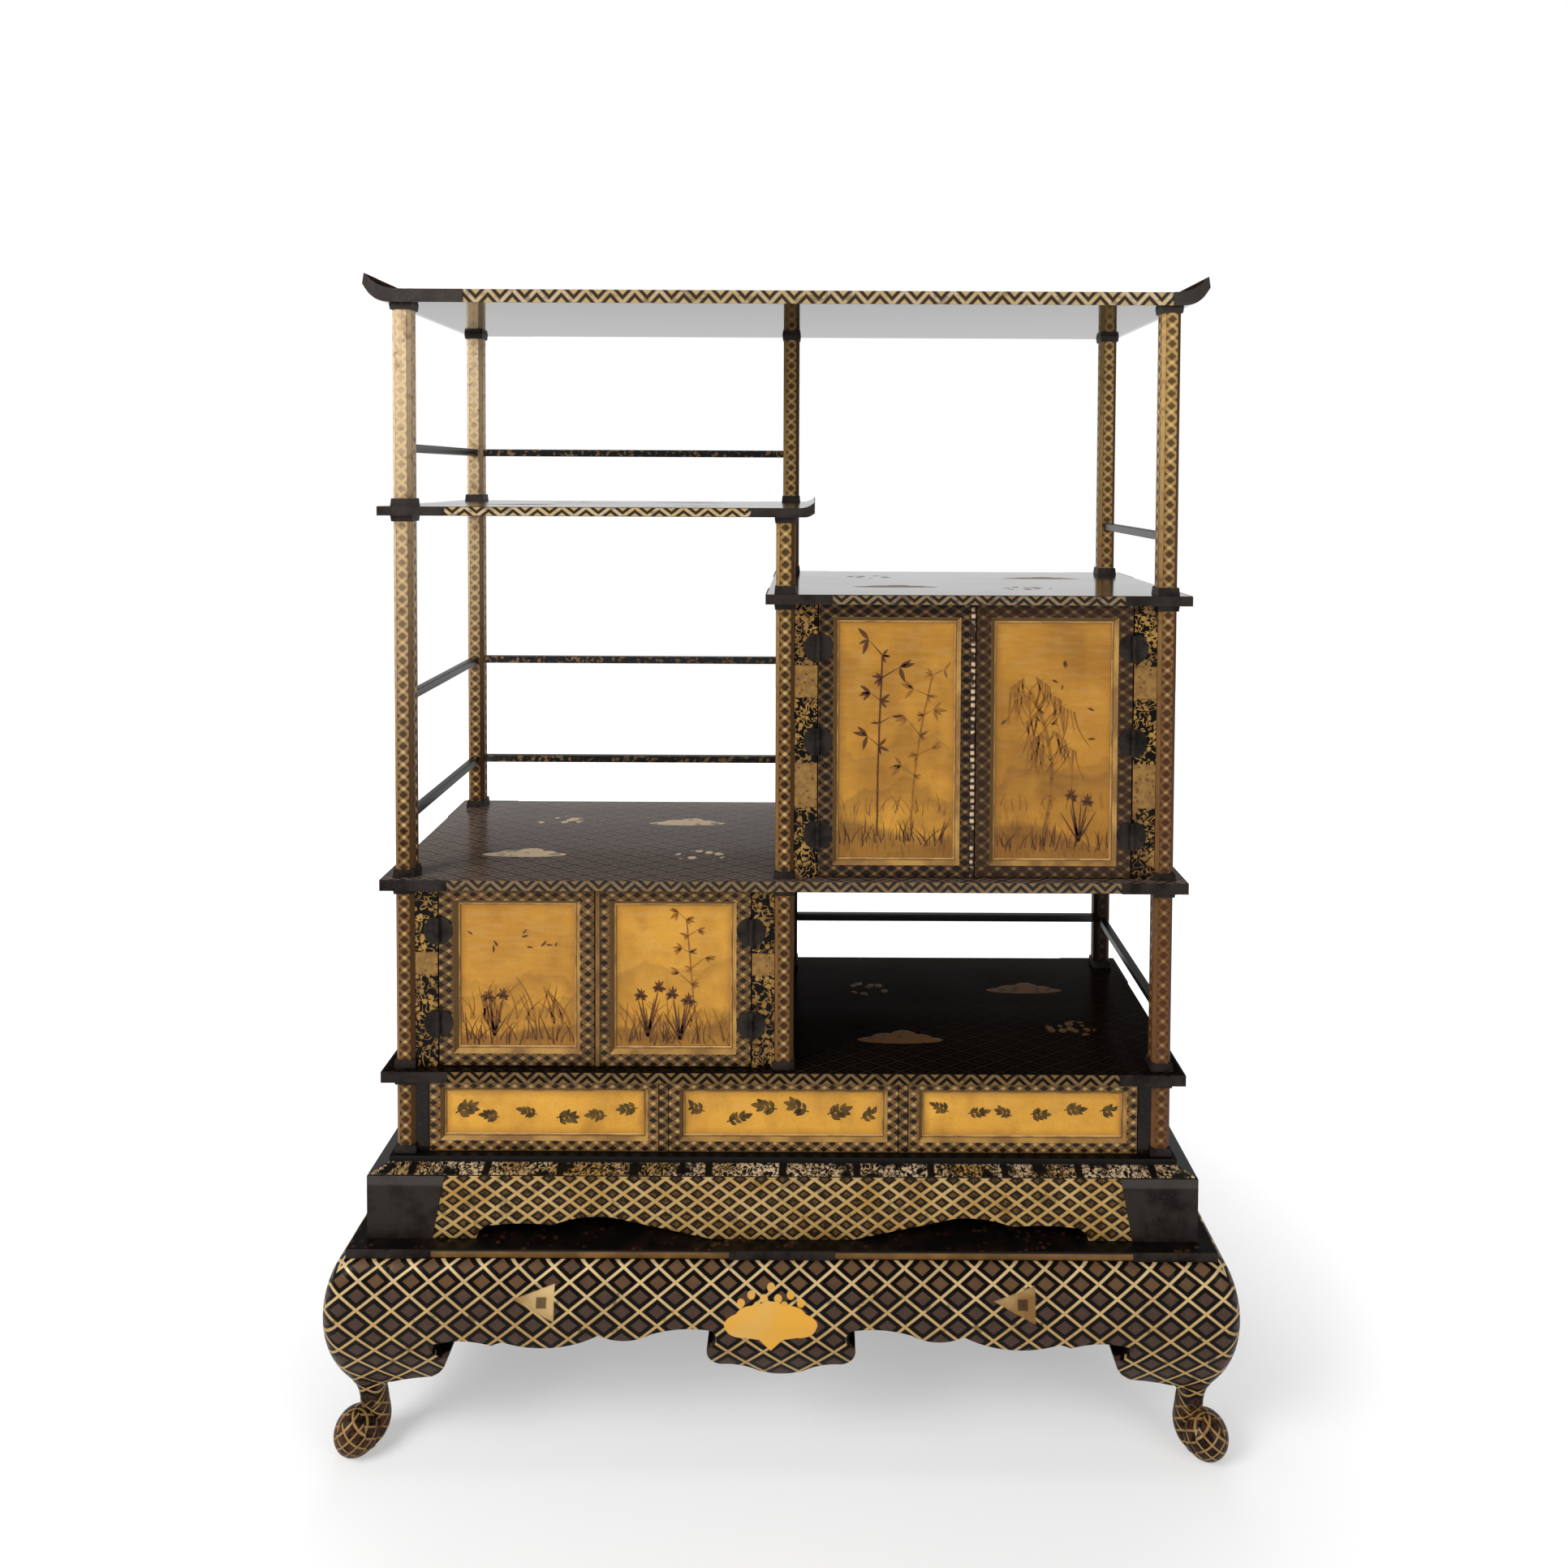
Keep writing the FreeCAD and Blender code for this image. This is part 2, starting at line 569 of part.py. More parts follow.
def make_apron(doc, label, size, half, base, middle_edge, turn):
    """A swelling apron between two legs, made facing the front and turned to its side."""
    top = size.stand_height - size.stand_board_thick
    foot = min(size.bracket_foot, size.pendant_tip) - size.stand_board_thick
    full = base + size.apron_bulge
    inner = base - size.apron_set_in
    curve = [size.bulge_height]
    for level in (turning_height(size), foot):
        if foot <= level < curve[-1]:
            curve += [(curve[-1] + level) / 2, level]
    body = new_body(doc, label)
    profile = new_sketch(body, "profile", "YZ_Plane")
    crown = shoulder_point(size, 0)[1]
    shoulder = Part.Ellipse(vector((-base, crown)), vector((-full, size.bulge_height)),
                            vector((-base, size.bulge_height)))
    profile.addGeometry(Part.ArcOfEllipse(shoulder, math.radians(SHOULDER_START), math.pi / 2))
    path = [(-(base + swell(size, height)), height) for height in curve]
    arcs(profile, path)
    lines(profile, [path[-1], (-inner, foot), (-inner, top), (-(base + swell(size, top)), top)])
    length = f"2 * ({OUT_X} + stand_over_x - leg_seam)"
    if turn % 180:
        length = f"2 * ({OUT_Y} + stand_over_y - leg_seam)"
    pad(body, profile, length, both_sides=True)
    edge = new_sketch(body, "edge", "XZ_Plane")
    left = bracket_edge(size, -half) + middle_edge(size, -half)
    cusps = left + mirrored(left)[1:]
    arcs(edge, cusps)
    floor = foot - size.stand_board_thick
    lines(edge, [cusps[-1], (half, floor), (-half, floor), cusps[0]])
    pocket_through(body, edge)
    body.Placement = FreeCAD.Placement(FreeCAD.Vector(), FreeCAD.Rotation(FreeCAD.Vector(0, 0, 1), turn))
    return body


def leg_section(body, name, height, outer, inner, outer_round, inner_round):
    """A square slice of a leg about the stand board's corner, with its outer edge more rounded."""
    sketch = new_sketch(body, name, "XY_Plane", str(height))
    corners = [(-outer, -outer, outer_round), (inner, -outer, inner_round),
               (inner, inner, inner_round), (-outer, inner, inner_round)]
    steps = [(1, 0), (0, 1), (-1, 0), (0, -1)]
    diagonal = 1 - math.sqrt(0.5)
    for (x, y, rounding), arrive, leave in zip(corners, steps[-1:] + steps[:-1], steps):
        start = (x - arrive[0] * rounding, y - arrive[1] * rounding)
        end = (x + leave[0] * rounding, y + leave[1] * rounding)
        centre_way = (leave[0] - arrive[0], leave[1] - arrive[1])
        middle = (x + centre_way[0] * rounding * diagonal, y + centre_way[1] * rounding * diagonal)
        arcs(sketch, [start, middle, end])
    for number_here, (x, y, rounding) in enumerate(corners):
        next_x, next_y, next_round = corners[(number_here + 1) % 4]
        step = steps[number_here]
        lines(sketch, [(x + step[0] * rounding, y + step[1] * rounding),
                       (next_x - step[0] * next_round, next_y - step[1] * next_round)])
    return sketch


def make_loft(body, name, slices):
    """A smooth stretch of a leg through slices of height, outer and inner reach, outer and inner rounding."""
    sketches = [leg_section(body, f"{name}_{number}", *one) for number, one in enumerate(slices)]
    loft = body.newObject("PartDesign::AdditiveLoft", f"{body.Name}_{name}")
    loft.Profile = sketches[0]
    loft.Sections = sketches[1:]


def make_leg(doc, label, size, turn, x, y):
    """A corner leg: swelling knee flush with the aprons, drawn-in ankle, scroll foot round a ball."""
    foot = size.bracket_foot
    seam_round = 0.5
    ankle_round = 0.4 * size.ankle_side
    heights = [shoulder_point(size, angle)[1] for angle in (SHOULDER_START, 30, 50, 70, 90)]
    heights += [size.bulge_height - share * (size.bulge_height - foot) for share in (0.2, 0.4, 0.6, 0.8, 1)]
    knee = [(height, swell(size, height), size.leg_seam, size.knee_round, seam_round) for height in heights]
    ankle = [knee[-1]]
    for share, inner in ANKLE_INNER:
        height = foot - share * (foot - size.ankle_height)
        ankle.append((height, swell(size, height), size.ankle_set_in + inner * size.ankle_side,
                      ankle_round + (size.knee_round - ankle_round) * (1 - share) ** 2,
                      seam_round + (ankle_round - seam_round) * min(1, 2 * share)))
    for share, outer, inner in SCROLL:
        rounding = 0.4 * (inner - outer) * size.ankle_side
        ankle.append((2 * share * size.foot_radius, -(size.ankle_set_in + outer * size.ankle_side),
                      size.ankle_set_in + inner * size.ankle_side, rounding, rounding))
    body = new_body(doc, label)
    make_loft(body, "knee", knee)
    make_loft(body, "ankle", ankle)
    ball = body.newObject("PartDesign::AdditiveSphere", f"{label}_ball")
    bind(ball, "Radius", "foot_radius")
    plane = next(feature for feature in body.Origin.OriginFeatures if feature.Role == "XY_Plane")
    ball.AttachmentSupport = [(plane, "")]
    ball.MapMode = "FlatFace"
    for axis, text in zip("xyz", ("foot_set_in", "foot_set_in", "foot_radius - foot_flat")):
        bind(ball, f"AttachmentOffset.Base.{axis}", text)
    flat = new_sketch(body, "sole", "XY_Plane")
    around = ("foot_set_in - foot_radius", "foot_set_in + foot_radius")
    rectangle(flat, around, around)
    sole = body.newObject("PartDesign::Pocket", f"{label}_sole")
    sole.Profile = flat
    bind(sole, "Length", "foot_radius")
    body.Placement = FreeCAD.Placement(FreeCAD.Vector(), FreeCAD.Rotation(FreeCAD.Vector(0, 0, 1), turn))
    place(body, f"{x} * ({OUT_X} + stand_over_x)", f"{y} * ({OUT_Y} + stand_over_y)")
    return body


def make_stand(doc, size):
    half_x = size.post_pitch_x + size.post_side / 2 + size.stand_over_x
    half_y = size.post_pitch_y / 2 + size.post_side / 2 + size.stand_over_y
    wide = (f"-({OUT_X} + stand_over_x)", f"{OUT_X} + stand_over_x")
    deep = (f"-({OUT_Y} + stand_over_y)", f"{OUT_Y} + stand_over_y")
    top = box(doc, "stand_top_board", wide, deep, ("stand_height - stand_board_thick", "stand_height"))
    seam_x = half_x - size.leg_seam
    seam_y = half_y - size.leg_seam
    front = make_apron(doc, "stand_front_apron", size, seam_x, half_y, long_edge, 0)
    back = make_apron(doc, "stand_back_apron", size, seam_x, half_y, long_edge, 180)
    right = make_apron(doc, "stand_right_apron", size, seam_y, half_x, short_edge, 90)
    left = make_apron(doc, "stand_left_apron", size, seam_y, half_x, short_edge, 270)
    legs = [make_leg(doc, f"stand_{label}_leg", size, turn, x, y) for label, turn, x, y in (
        ("front_left", 0, -1, -1), ("front_right", 90, 1, -1),
        ("back_right", 180, 1, 1), ("back_left", 270, -1, 1))]
    return [top, front, back, group(doc, "stand_side_aprons", [left, right])] + legs


def make_drawer_case(doc):
    tier = (CASE_Z, LOWER_Z)
    linings = [box(doc, f"{side}_lining", x, (f"-{FACE_Y}", PANEL_LOW_Y), tier) for side, x in (
        ("left", (f"-{IN_X}", f"-({IN_X} - lining_thick)")),
        ("right", (f"{IN_X} - lining_thick", IN_X)))]
    sides = [side_panel(doc, f"{side}_case_panel", f"{sign} * post_pitch_x", tier)
             for side, sign in zip(("left", "right"), BOTH)]
    back = box(doc, "case_back", (f"-{IN_X}", IN_X), (PANEL_LOW_Y, PANEL_HIGH_Y), tier)
    dividers = []
    for name, sign in zip(("left", "right"), BOTH):
        centre = f"{sign} * ({DRAWER_PITCH}) / 2"
        across = (f"{centre} - divider_thick / 2", f"{centre} + divider_thick / 2")
        dividers.append(box(doc, f"{name}_divider", across, (f"-{FACE_Y}", PANEL_LOW_Y), tier))
    return [group(doc, "case_linings", linings), group(doc, "case_side_panels", sides), back,
            group(doc, "drawer_dividers", dividers)]


def framed_face(doc, label, x, z, stile, rail, bevel_size):
    """An upright frame round one opening, its inner front edges bevelled."""
    body = new_body(doc, label)
    outline = new_sketch(body, "outline", "XZ_Plane", FACE_Y)
    rectangle(outline, x, z)
    rectangle(outline, (f"{x[0]} + {stile}", f"{x[1]} - {stile}"), (f"{z[0]} + {rail}", f"{z[1]} - {rail}"))
    frame = pad(body, outline, "face_thick", reverse=True)
    doc.recompute()
    shape = frame.Shape
    front = shape.BoundBox.YMin
    inner = [f"Edge{number}" for number, edge in enumerate(shape.Edges, start=1)
             if edge.BoundBox.YMax < front + 0.01 and inside(edge, shape)]
    bevel(body, frame, inner, bevel_size)
    return body


def inside(edge, shape):
    """Whether a front edge belongs to the opening and not to the outside of the frame."""
    middle = edge.CenterOfMass
    bounds = shape.BoundBox
    near = 0.01
    return (bounds.XMin + near < middle.x < bounds.XMax - near
            and bounds.ZMin + near < middle.z < bounds.ZMax - near)


def face_panel(doc, label, x, z, stile, rail):
    """The recessed panel that fills a frame's opening."""
    return box(doc, label, (f"{x[0]} + {stile}", f"{x[1]} - {stile}"),
               (f"-{FACE_Y} + panel_recess", f"-{FACE_BACK_Y}"), (f"{z[0]} + {rail}", f"{z[1]} - {rail}"))


def make_drawer(doc, name, place_in_row):
    """One drawer: front frame, recessed panel and open box."""
    centre = f"{place_in_row} * ({DRAWER_PITCH})"
    half = f"(({DRAWER_PITCH} - divider_thick) / 2 - drawer_gap)"
    x = (f"{centre} - {half}", f"{centre} + {half}")
    z = (f"{CASE_Z} + drawer_lift", f"{LOWER_Z} - drawer_gap")
    deep = (f"-{FACE_BACK_Y}", f"-{FACE_BACK_Y} + drawer_depth")
    outer = box(doc, f"{name}_drawer_blank", x, deep, (z[0], f"{z[1]} - drawer_drop"))
    hollow = box(doc, f"{name}_drawer_hollow", (f"{x[0]} + drawer_wall", f"{x[1]} - drawer_wall"),
                 (f"{deep[0]} + drawer_wall", f"{deep[1]} - drawer_wall"), (f"{z[0]} + drawer_floor", z[1]))
    return [
        framed_face(doc, f"{name}_drawer_front", x, z, "drawer_frame", "drawer_frame", "drawer_bevel"),
        face_panel(doc, f"{name}_drawer_panel", x, z, "drawer_frame", "drawer_frame"),
        cut(doc, f"{name}_drawer_box", outer, [hollow]),
    ]


def side_panel(doc, label, centre, z):
    across = (f"{centre} - panel_thick / 2", f"{centre} + panel_thick / 2")
    return box(doc, label, across, (f"-{IN_Y}", IN_Y), z)


def hinge_span(pin, way, near, far):
    """A stretch beside a hinge pin, towards the right (way 1) or the left (way -1)."""
    if way > 0:
        return (f"{pin} + {near}", f"{pin} + {far}")
    return (f"{pin} - {far}", f"{pin} - {near}")


def knuckle(doc, label, pin, radius, z):
    barrel = named(doc.addObject("Part::Cylinder", label), label)
    bind(barrel, "Radius", radius)
    bind(barrel, "Height", f"({z[1]}) - ({z[0]})")
    place(barrel, pin, f"-({FACE_Y} + hinge_play + knuckle_radius)", z[0])
    return barrel


def hinge_leaf(doc, label, size, pin, way, middle, runs):
    """A half-round leaf on the face, with the knuckles that it carries on some runs of its height."""
    near = way * (size.knuckle_radius + size.hinge_play)
    far = way * size.hinge_width
    straight = near + 0.3 * (far - near)
    half = size.hinge_height / 2
    leaf = new_body(doc, f"{label}_plate")
    outline = new_sketch(leaf, "outline", "XZ_Plane", FACE_Y)
    arcs(outline, [(straight, -half), (far, 0), (straight, half)])
    lines(outline, [(straight, half), (near, half), (near, -half), (straight, -half)])
    pad(leaf, outline, "hinge_thick")
    place(leaf, pin, "0", middle)
    solids = [leaf]
    for number, run in enumerate(runs):
        solids.append(box(doc, f"{label}_tab_{number}",
                          hinge_span(pin, way, "0", "(knuckle_radius + 2 * hinge_play)"),
                          (f"-({FACE_Y} + hinge_thick)", f"-({FACE_Y} + hinge_play)"), run))
        solids.append(knuckle(doc, f"{label}_knuckle_{number}", pin, "knuckle_radius", run))
    return solids


def make_hinge(doc, label, size, pin, way, middle):
    """One hinge: the fixed leaf with its pin, and the leaf that moves with the door on the way's side."""
    z = (f"{middle} - hinge_height / 2", f"{middle} + hinge_height / 2")
    third = f"{z[0]} + hinge_height / 3"
    two_thirds = f"{z[0]} + 2 * hinge_height / 3"
    fixed = hinge_leaf(doc, f"{label}_fixed", size, pin, -way, middle, [(z[0], third), (two_thirds, z[1])])
    fixed.append(knuckle(doc, f"{label}_pin", pin, "pin_radius", z))
    run = (f"{third} + hinge_play", f"{two_thirds} - hinge_play")
    leaf = hinge_leaf(doc, f"{label}_moving", size, pin, way, middle, [run])
    moving = fuse(doc, f"{label}_moving_blank", leaf)
    bore = knuckle(doc, f"{label}_bore", pin, "(pin_radius + pin_play)", z)
    return fuse(doc, f"{label}_fixed_leaf", fixed), cut(doc, f"{label}_moving_leaf", moving, [bore])


def make_cupboard(doc, size, name, x, z, hinge_levels):
    """Panels, stiles and two doors of a cupboard between posts; the fixed hinge leaves come back apart."""
    ends = (f"({x[0]} - post_side / 2)", f"({x[1]} + post_side / 2)")
    sides = [side_panel(doc, f"{name}_panel_{number}", centre, z) for number, centre in enumerate(ends)]
    back = box(doc, f"{name}_panel_back", x, (PANEL_LOW_Y, PANEL_HIGH_Y), z)
    face = (f"-{FACE_Y}", f"-{FACE_BACK_Y}")
    stiles = [box(doc, f"{name}_stile_left", (x[0], f"{x[0]} + stile_width"), face, z),
              box(doc, f"{name}_stile_right", (f"{x[1]} - stile_width", x[1]), face, z)]
    nodes = [group(doc, f"{name}_cupboard_panels", sides + [back]),
             group(doc, f"{name}_cupboard_stiles", stiles)]
    middle = f"({x[0]} + {x[1]}) / 2"
    edges = (f"{x[0]} + stile_width", f"{x[1]} - stile_width")
    spans = ((f"{edges[0]} + door_gap", f"{middle} - door_gap / 2"),
             (f"{middle} + door_gap / 2", f"{edges[1]} - door_gap"))
    height = (f"{z[0]} + door_gap", f"{z[1]} - door_gap")
    fixed_leaves = []
    for side, way, edge, span in zip(("left", "right"), (1, -1), edges, spans):
        door = f"{name}_{side}_door"
        pin = f"{edge} + {way} * door_gap / 2"
        pairs = [make_hinge(doc, f"{door}_hinge_{number}", size, pin, way, level)
                 for number, level in enumerate(hinge_levels)]
        fixed_leaves += [fixed for fixed, moving in pairs]
        nodes += [
            framed_face(doc, f"{door}_frame", span, height, "door_stile", "door_rail", "door_bevel"),
            face_panel(doc, f"{door}_panel", span, height, "door_stile", "door_rail"),
            group(doc, f"{door}_hinges", [moving for fixed, moving in pairs]),
        ]
    return nodes, fixed_leaves


def make_cupboards(doc, size):
    low = (LOWER_TOP, MIDDLE_Z)
    high = (MIDDLE_TOP, CUPBOARD_Z)
    ends = [(f"{span[0]} + hinge_end", f"{span[1]} - hinge_end") for span in (low, high)]
    between = f"({high[0]} + {high[1]}) / 2"
    lower, low_leaves = make_cupboard(doc, size, "lower", (f"-{IN_X}", "-post_side / 2"), low, ends[0])
    upper, high_leaves = make_cupboard(doc, size, "upper", ("post_side / 2", IN_X), high,
                                       (ends[1][0], between, ends[1][1]))
    return lower + upper + [group(doc, "fixed_hinge_leaves", low_leaves + high_leaves)]


def flared_ring(doc, label, post_x, post_y, level, height, downwards):
    """A metal block that flares towards the board at its level, before the post is cut out of it."""
    ring = doc.addObject("Part::Wedge", label)
    for axis in "XZ":
        for end, reach in (("", "collar_flare"), ("2", "collar_wall")):
            bind(ring, f"{axis}{end}min", f"-(post_side / 2 + {reach})")
            bind(ring, f"{axis}{end}max", f"post_side / 2 + {reach}")
    bind(ring, "Ymin", "0")
    bind(ring, "Ymax", height)
    turn = FreeCAD.Rotation(FreeCAD.Vector(1, 0, 0), -90 if downwards else 90)
    ring.Placement = FreeCAD.Placement(FreeCAD.Vector(), turn)
    place(ring, f"{post_x} * post_pitch_x", f"{post_y} * post_pitch_y / 2", level)
    return ring


def make_collars(doc, cutters):
    """Metal collars under the boards and shoes on them, round every stretch of post."""
    tier = (CASE_Z, LOWER_Z)
    low = (LOWER_TOP, MIDDLE_Z)
    high = (MIDDLE_TOP, CUPBOARD_Z)
    left = (tier, low, (MIDDLE_TOP, SMALL_Z), (SMALL_TOP, TOP_Z))
    right = (tier, low, high, (CUPBOARD_TOP, TOP_Z))
    middle = (low, high, (CUPBOARD_TOP, SMALL_Z))
    rings = []
    for x, y, stretches in ((-1, -1, left), (-1, 1, left), (1, -1, right), (1, 1, right),
                            (0, -1, middle), (0, 1, middle + ((SMALL_TOP, TOP_Z),))):
        for bottom, top in stretches:
            number = len(rings)
            rings.append(flared_ring(doc, f"shoe_{number}", x, y, bottom, "shoe_height", False))
            rings.append(flared_ring(doc, f"collar_{number}", x, y, top, "collar_height", True))
    return cut(doc, "post_collars", group(doc, "post_collar_blocks", rings), cutters)


def plate(doc, label, role, lift, outward, corners):
    """A thin metal plate on an upright face, given by its corners."""
    body = new_body(doc, label)
    outline = new_sketch(body, "outline", role, lift)
    lines(outline, corners + corners[:1])
    pad(body, outline, "mount_thick", reverse=not outward)
    return body


def corner_mounts(doc, label, x_ends, half_y, z, runs):
    """Plates that wrap the four upright corners of a board, as long as runs at its lower and upper edges."""
    wrap = float(doc.sizes.get("mount_thick"))
    plates = []
    for number, (x_sign, x_end) in enumerate(zip(BOTH, x_ends)):
        for y_sign in BOTH:
            along = [(x_end, z[0]), (x_end - x_sign * runs[0], z[0]),
                     (x_end - x_sign * runs[1], z[1]), (x_end, z[1])]
            y_end = y_sign * (half_y + wrap)
            back = [(y_end, z[0]), (y_end - y_sign * runs[0], z[0]),
                    (y_end - y_sign * runs[1], z[1]), (y_end, z[1])]
            name = f"{label}_{number}_{y_sign + 1}"
            face = plate(doc, f"{name}_face", "XZ_Plane", str(-y_sign * half_y), y_sign < 0, along)
            side = plate(doc, f"{name}_side", "YZ_Plane", str(x_end), x_sign > 0, back)
            plates.append(fuse(doc, name, [face, side]))
    return plates


def tip_mount(doc, label, size, ends, level, signs, run):
    """A plate on a board's edge at an upturned end, wrapped round the tip."""
    x_sign, y_sign = signs
    half_y = size.post_pitch_y / 2 + size.post_side / 2 + size.board_over_front
    outward = y_sign < 0
    inner = ends[0][-1][0] - run
    face = new_body(doc, f"{label}_face")
    outline = new_sketch(face, "outline", "XZ_Plane", str(-y_sign * half_y))
    inner_edge = []
    for flat, _, tip in ends:
        start = max(flat[0], inner)
        path = [(x, rising_height(flat, tip, x)) for x in (start, (start + tip[0]) / 2, tip[0])]
        arcs(outline, [(x_sign * x, z) for x, z in path])
        inner_edge.append((x_sign * inner, path[0][1]))
        if inner < flat[0]:
            lines(outline, [inner_edge[-1], (x_sign * flat[0], flat[1])])
    lines(outline, inner_edge)
    tips = [(x_sign * run[-1][0], run[-1][1]) for run in ends]
    lines(outline, tips)
    pad(face, outline, "mount_thick", reverse=not outward)
    cap = new_body(doc, f"{label}_cap")
    section = new_sketch(cap, "section", "XZ_Plane", str(-y_sign * (half_y + size.mount_thick)))
    lines(section, tips + [(x + x_sign * size.mount_thick, z) for x, z in reversed(tips)] + tips[:1])
    pad(cap, section, "tip_mount_wrap", reverse=outward)
    for piece in (face, cap):
        place(piece, z=level)
    return fuse(doc, label, [face, cap])


def make_mounts(doc, size):
    """Metal mounts at the corners of the stand, the plinth and the boards."""
    out_x = size.post_pitch_x + size.post_side / 2
    out_y = size.post_pitch_y / 2 + size.post_side / 2
    stand_x = out_x + size.stand_over_x
    stand_y = out_y + size.stand_over_y
    stand_z = (size.stand_height - size.stand_board_thick, size.stand_height)
    runs = (size.stand_mount_run, size.stand_mount_run)
    stand = corner_mounts(doc, "stand_mount", (-stand_x, stand_x), stand_y, stand_z, runs)
    for y_sign in BOTH:
        half = size.centre_mount_half
        strip = [(-half, stand_z[0]), (half, stand_z[0]), (half, stand_z[1]), (-half, stand_z[1])]
        stand.append(plate(doc, f"stand_mount_centre_{y_sign + 1}", "XZ_Plane", str(-y_sign * stand_y),
                           y_sign < 0, strip))
    plinth_x = out_x + size.plinth_over_x
    plinth_z = (size.stand_height, size.stand_height + size.plinth_height)
    plinth = corner_mounts(doc, "plinth_mount", (-plinth_x, plinth_x), out_y + size.plinth_over_y, plinth_z,
                           (size.plinth_mount_foot, size.plinth_mount_head))
    board_x = out_x + size.board_over_side
    board_end = size.post_side / 2 + size.board_end_over
    lower = plinth_z[1] + size.cornice_height + size.drawer_tier_height
    middle = lower + size.shelf_thick + size.lower_tier_height
    upper = middle + size.shelf_thick + size.upper_cupboard_height
    boards = []
    for name, low_x, level, thick in (("lower", board_x, lower, size.shelf_thick),
                                      ("middle", board_x, middle, size.shelf_thick),
                                      ("cupboard", board_end, upper, size.cupboard_top_thick)):
        boards += corner_mounts(doc, f"{name}_board_mount", (-low_x, board_x), out_y + size.board_over_front,
                                (level, level + thick), (size.board_mount_run, size.board_mount_run))
    shelf = upper + size.cupboard_top_thick + size.small_shelf_rise
    boards += corner_mounts(doc, "small_shelf_mount", (-board_x,), out_y + size.board_over_front,
                            (shelf, shelf + size.small_shelf_thick),
                            (size.board_mount_run, size.board_mount_run))
    for y_sign in BOTH:
        boards.append(tip_mount(doc, f"small_shelf_tip_{y_sign + 1}", size, shelf_ends(size), SMALL_Z,
                                (1, y_sign), size.shelf_mount_run))
        for x_sign, run in zip(BOTH, (size.top_mount_left, size.top_mount_right)):
            boards.append(tip_mount(doc, f"top_tip_{x_sign + 1}_{y_sign + 1}", size, top_ends(size), TOP_Z,
                                    (x_sign, y_sign), run))
    return [group(doc, "stand_mounts", stand), group(doc, "plinth_mounts", plinth),
            group(doc, "board_mounts", boards)]


def make_cabinet(doc):
    size = Sizes(write_sheet(doc))
    posts = make_posts(doc)
    case = make_drawer_case(doc)
    cupboards = make_cupboards(doc, size)
    nodes = make_stand(doc, size) + make_plinth(doc, size) + case
    for name, place_in_row in (("left", -1), ("middle", 0), ("right", 1)):
        nodes += make_drawer(doc, name, place_in_row)
    nodes += list(posts.values()) + make_boards(doc, size, posts) + make_rails(doc) + cupboards
    beside = [node for node in cupboards if node.Label.endswith(("_cupboard_panels", "_cupboard_stiles"))]
    nodes.append(make_collars(doc, list(posts.values()) + case[:3] + beside))
    return nodes + make_mounts(doc, size)


def check(doc, nodes):
    for thing in doc.Objects:
        if "Invalid" in thing.State or "Error" in thing.State:
            raise RuntimeError(f"{thing.Label} failed: {thing.State}")
    for node in nodes:
        if node.Shape.isNull() or not node.Shape.isValid() or not node.Shape.Solids:
            raise RuntimeError(f"{node.Label} has no valid solid")


def main():
    doc = FreeCAD.newDocument("cabinet_on_stand")
    nodes = make_cabinet(doc)
    doc.recompute()
    check(doc, nodes)
    os.makedirs("parts", exist_ok=True)
    for node in nodes:
        node.Shape.exportStep(f"parts/{node.Label}.step")
        print(node.Label, len(node.Shape.Solids), "solids")
    print(len(nodes), "nodes")


main()
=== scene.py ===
"""Dresses a lacquered display cabinet and its swelling stand in gold and black, for a studio picture."""

import contextlib
import functools
import json
import math
import random

import bpy
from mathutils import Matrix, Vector


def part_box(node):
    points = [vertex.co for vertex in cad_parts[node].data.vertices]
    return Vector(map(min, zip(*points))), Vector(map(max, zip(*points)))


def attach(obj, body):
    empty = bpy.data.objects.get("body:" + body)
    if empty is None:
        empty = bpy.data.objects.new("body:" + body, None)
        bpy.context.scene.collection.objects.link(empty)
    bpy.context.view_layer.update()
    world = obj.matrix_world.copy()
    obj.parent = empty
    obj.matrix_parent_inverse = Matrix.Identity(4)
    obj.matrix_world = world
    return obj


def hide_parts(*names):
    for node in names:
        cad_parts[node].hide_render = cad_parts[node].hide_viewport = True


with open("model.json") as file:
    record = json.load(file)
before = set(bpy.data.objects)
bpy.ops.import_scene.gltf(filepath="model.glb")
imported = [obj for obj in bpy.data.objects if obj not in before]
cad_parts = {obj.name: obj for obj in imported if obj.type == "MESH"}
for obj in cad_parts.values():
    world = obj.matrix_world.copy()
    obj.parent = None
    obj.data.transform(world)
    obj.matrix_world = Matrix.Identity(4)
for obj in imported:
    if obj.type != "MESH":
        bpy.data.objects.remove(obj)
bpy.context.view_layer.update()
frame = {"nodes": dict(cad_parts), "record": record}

bl_info = {
    "name": "Lacquered cabinet on stand",
    "version": (1, 0, 0),
    "blender": (4, 5, 0),
    "location": "3D View > Sidebar > Cabinet",
    "description": "Dresses a lacquered display cabinet and its stand",
    "category": "Object",
}

BODY_OF = {node: body for body, nodes in frame["record"]["behaviour"]["bodies"].items() for node in nodes}
DRAWERS = ("left", "middle", "right")
POSTS = ("front_left", "front_right", "back_left", "back_right", "front_middle", "back_middle")

# Widths of softened edges in metres
FINE_EDGE, PANEL_EDGE, BOARD_EDGE = 0.0003, 0.0005, 0.0012

# Doors: brightness, brownness and mesh size of the frame's net, phase of the hills and darkness of the gold
DOORS = {
    "lower_left": (0.7, 0.1, 0.26, 1.3, 0.35),
    "lower_right": (0.7, 0.1, 0.26, 3.0, 0.28),
    "upper_left": (0.3, 0.05, 0.33, 4.7, 0.4),
    "upper_right": (0.22, 0.25, 0.33, 6.4, 0.55),
}

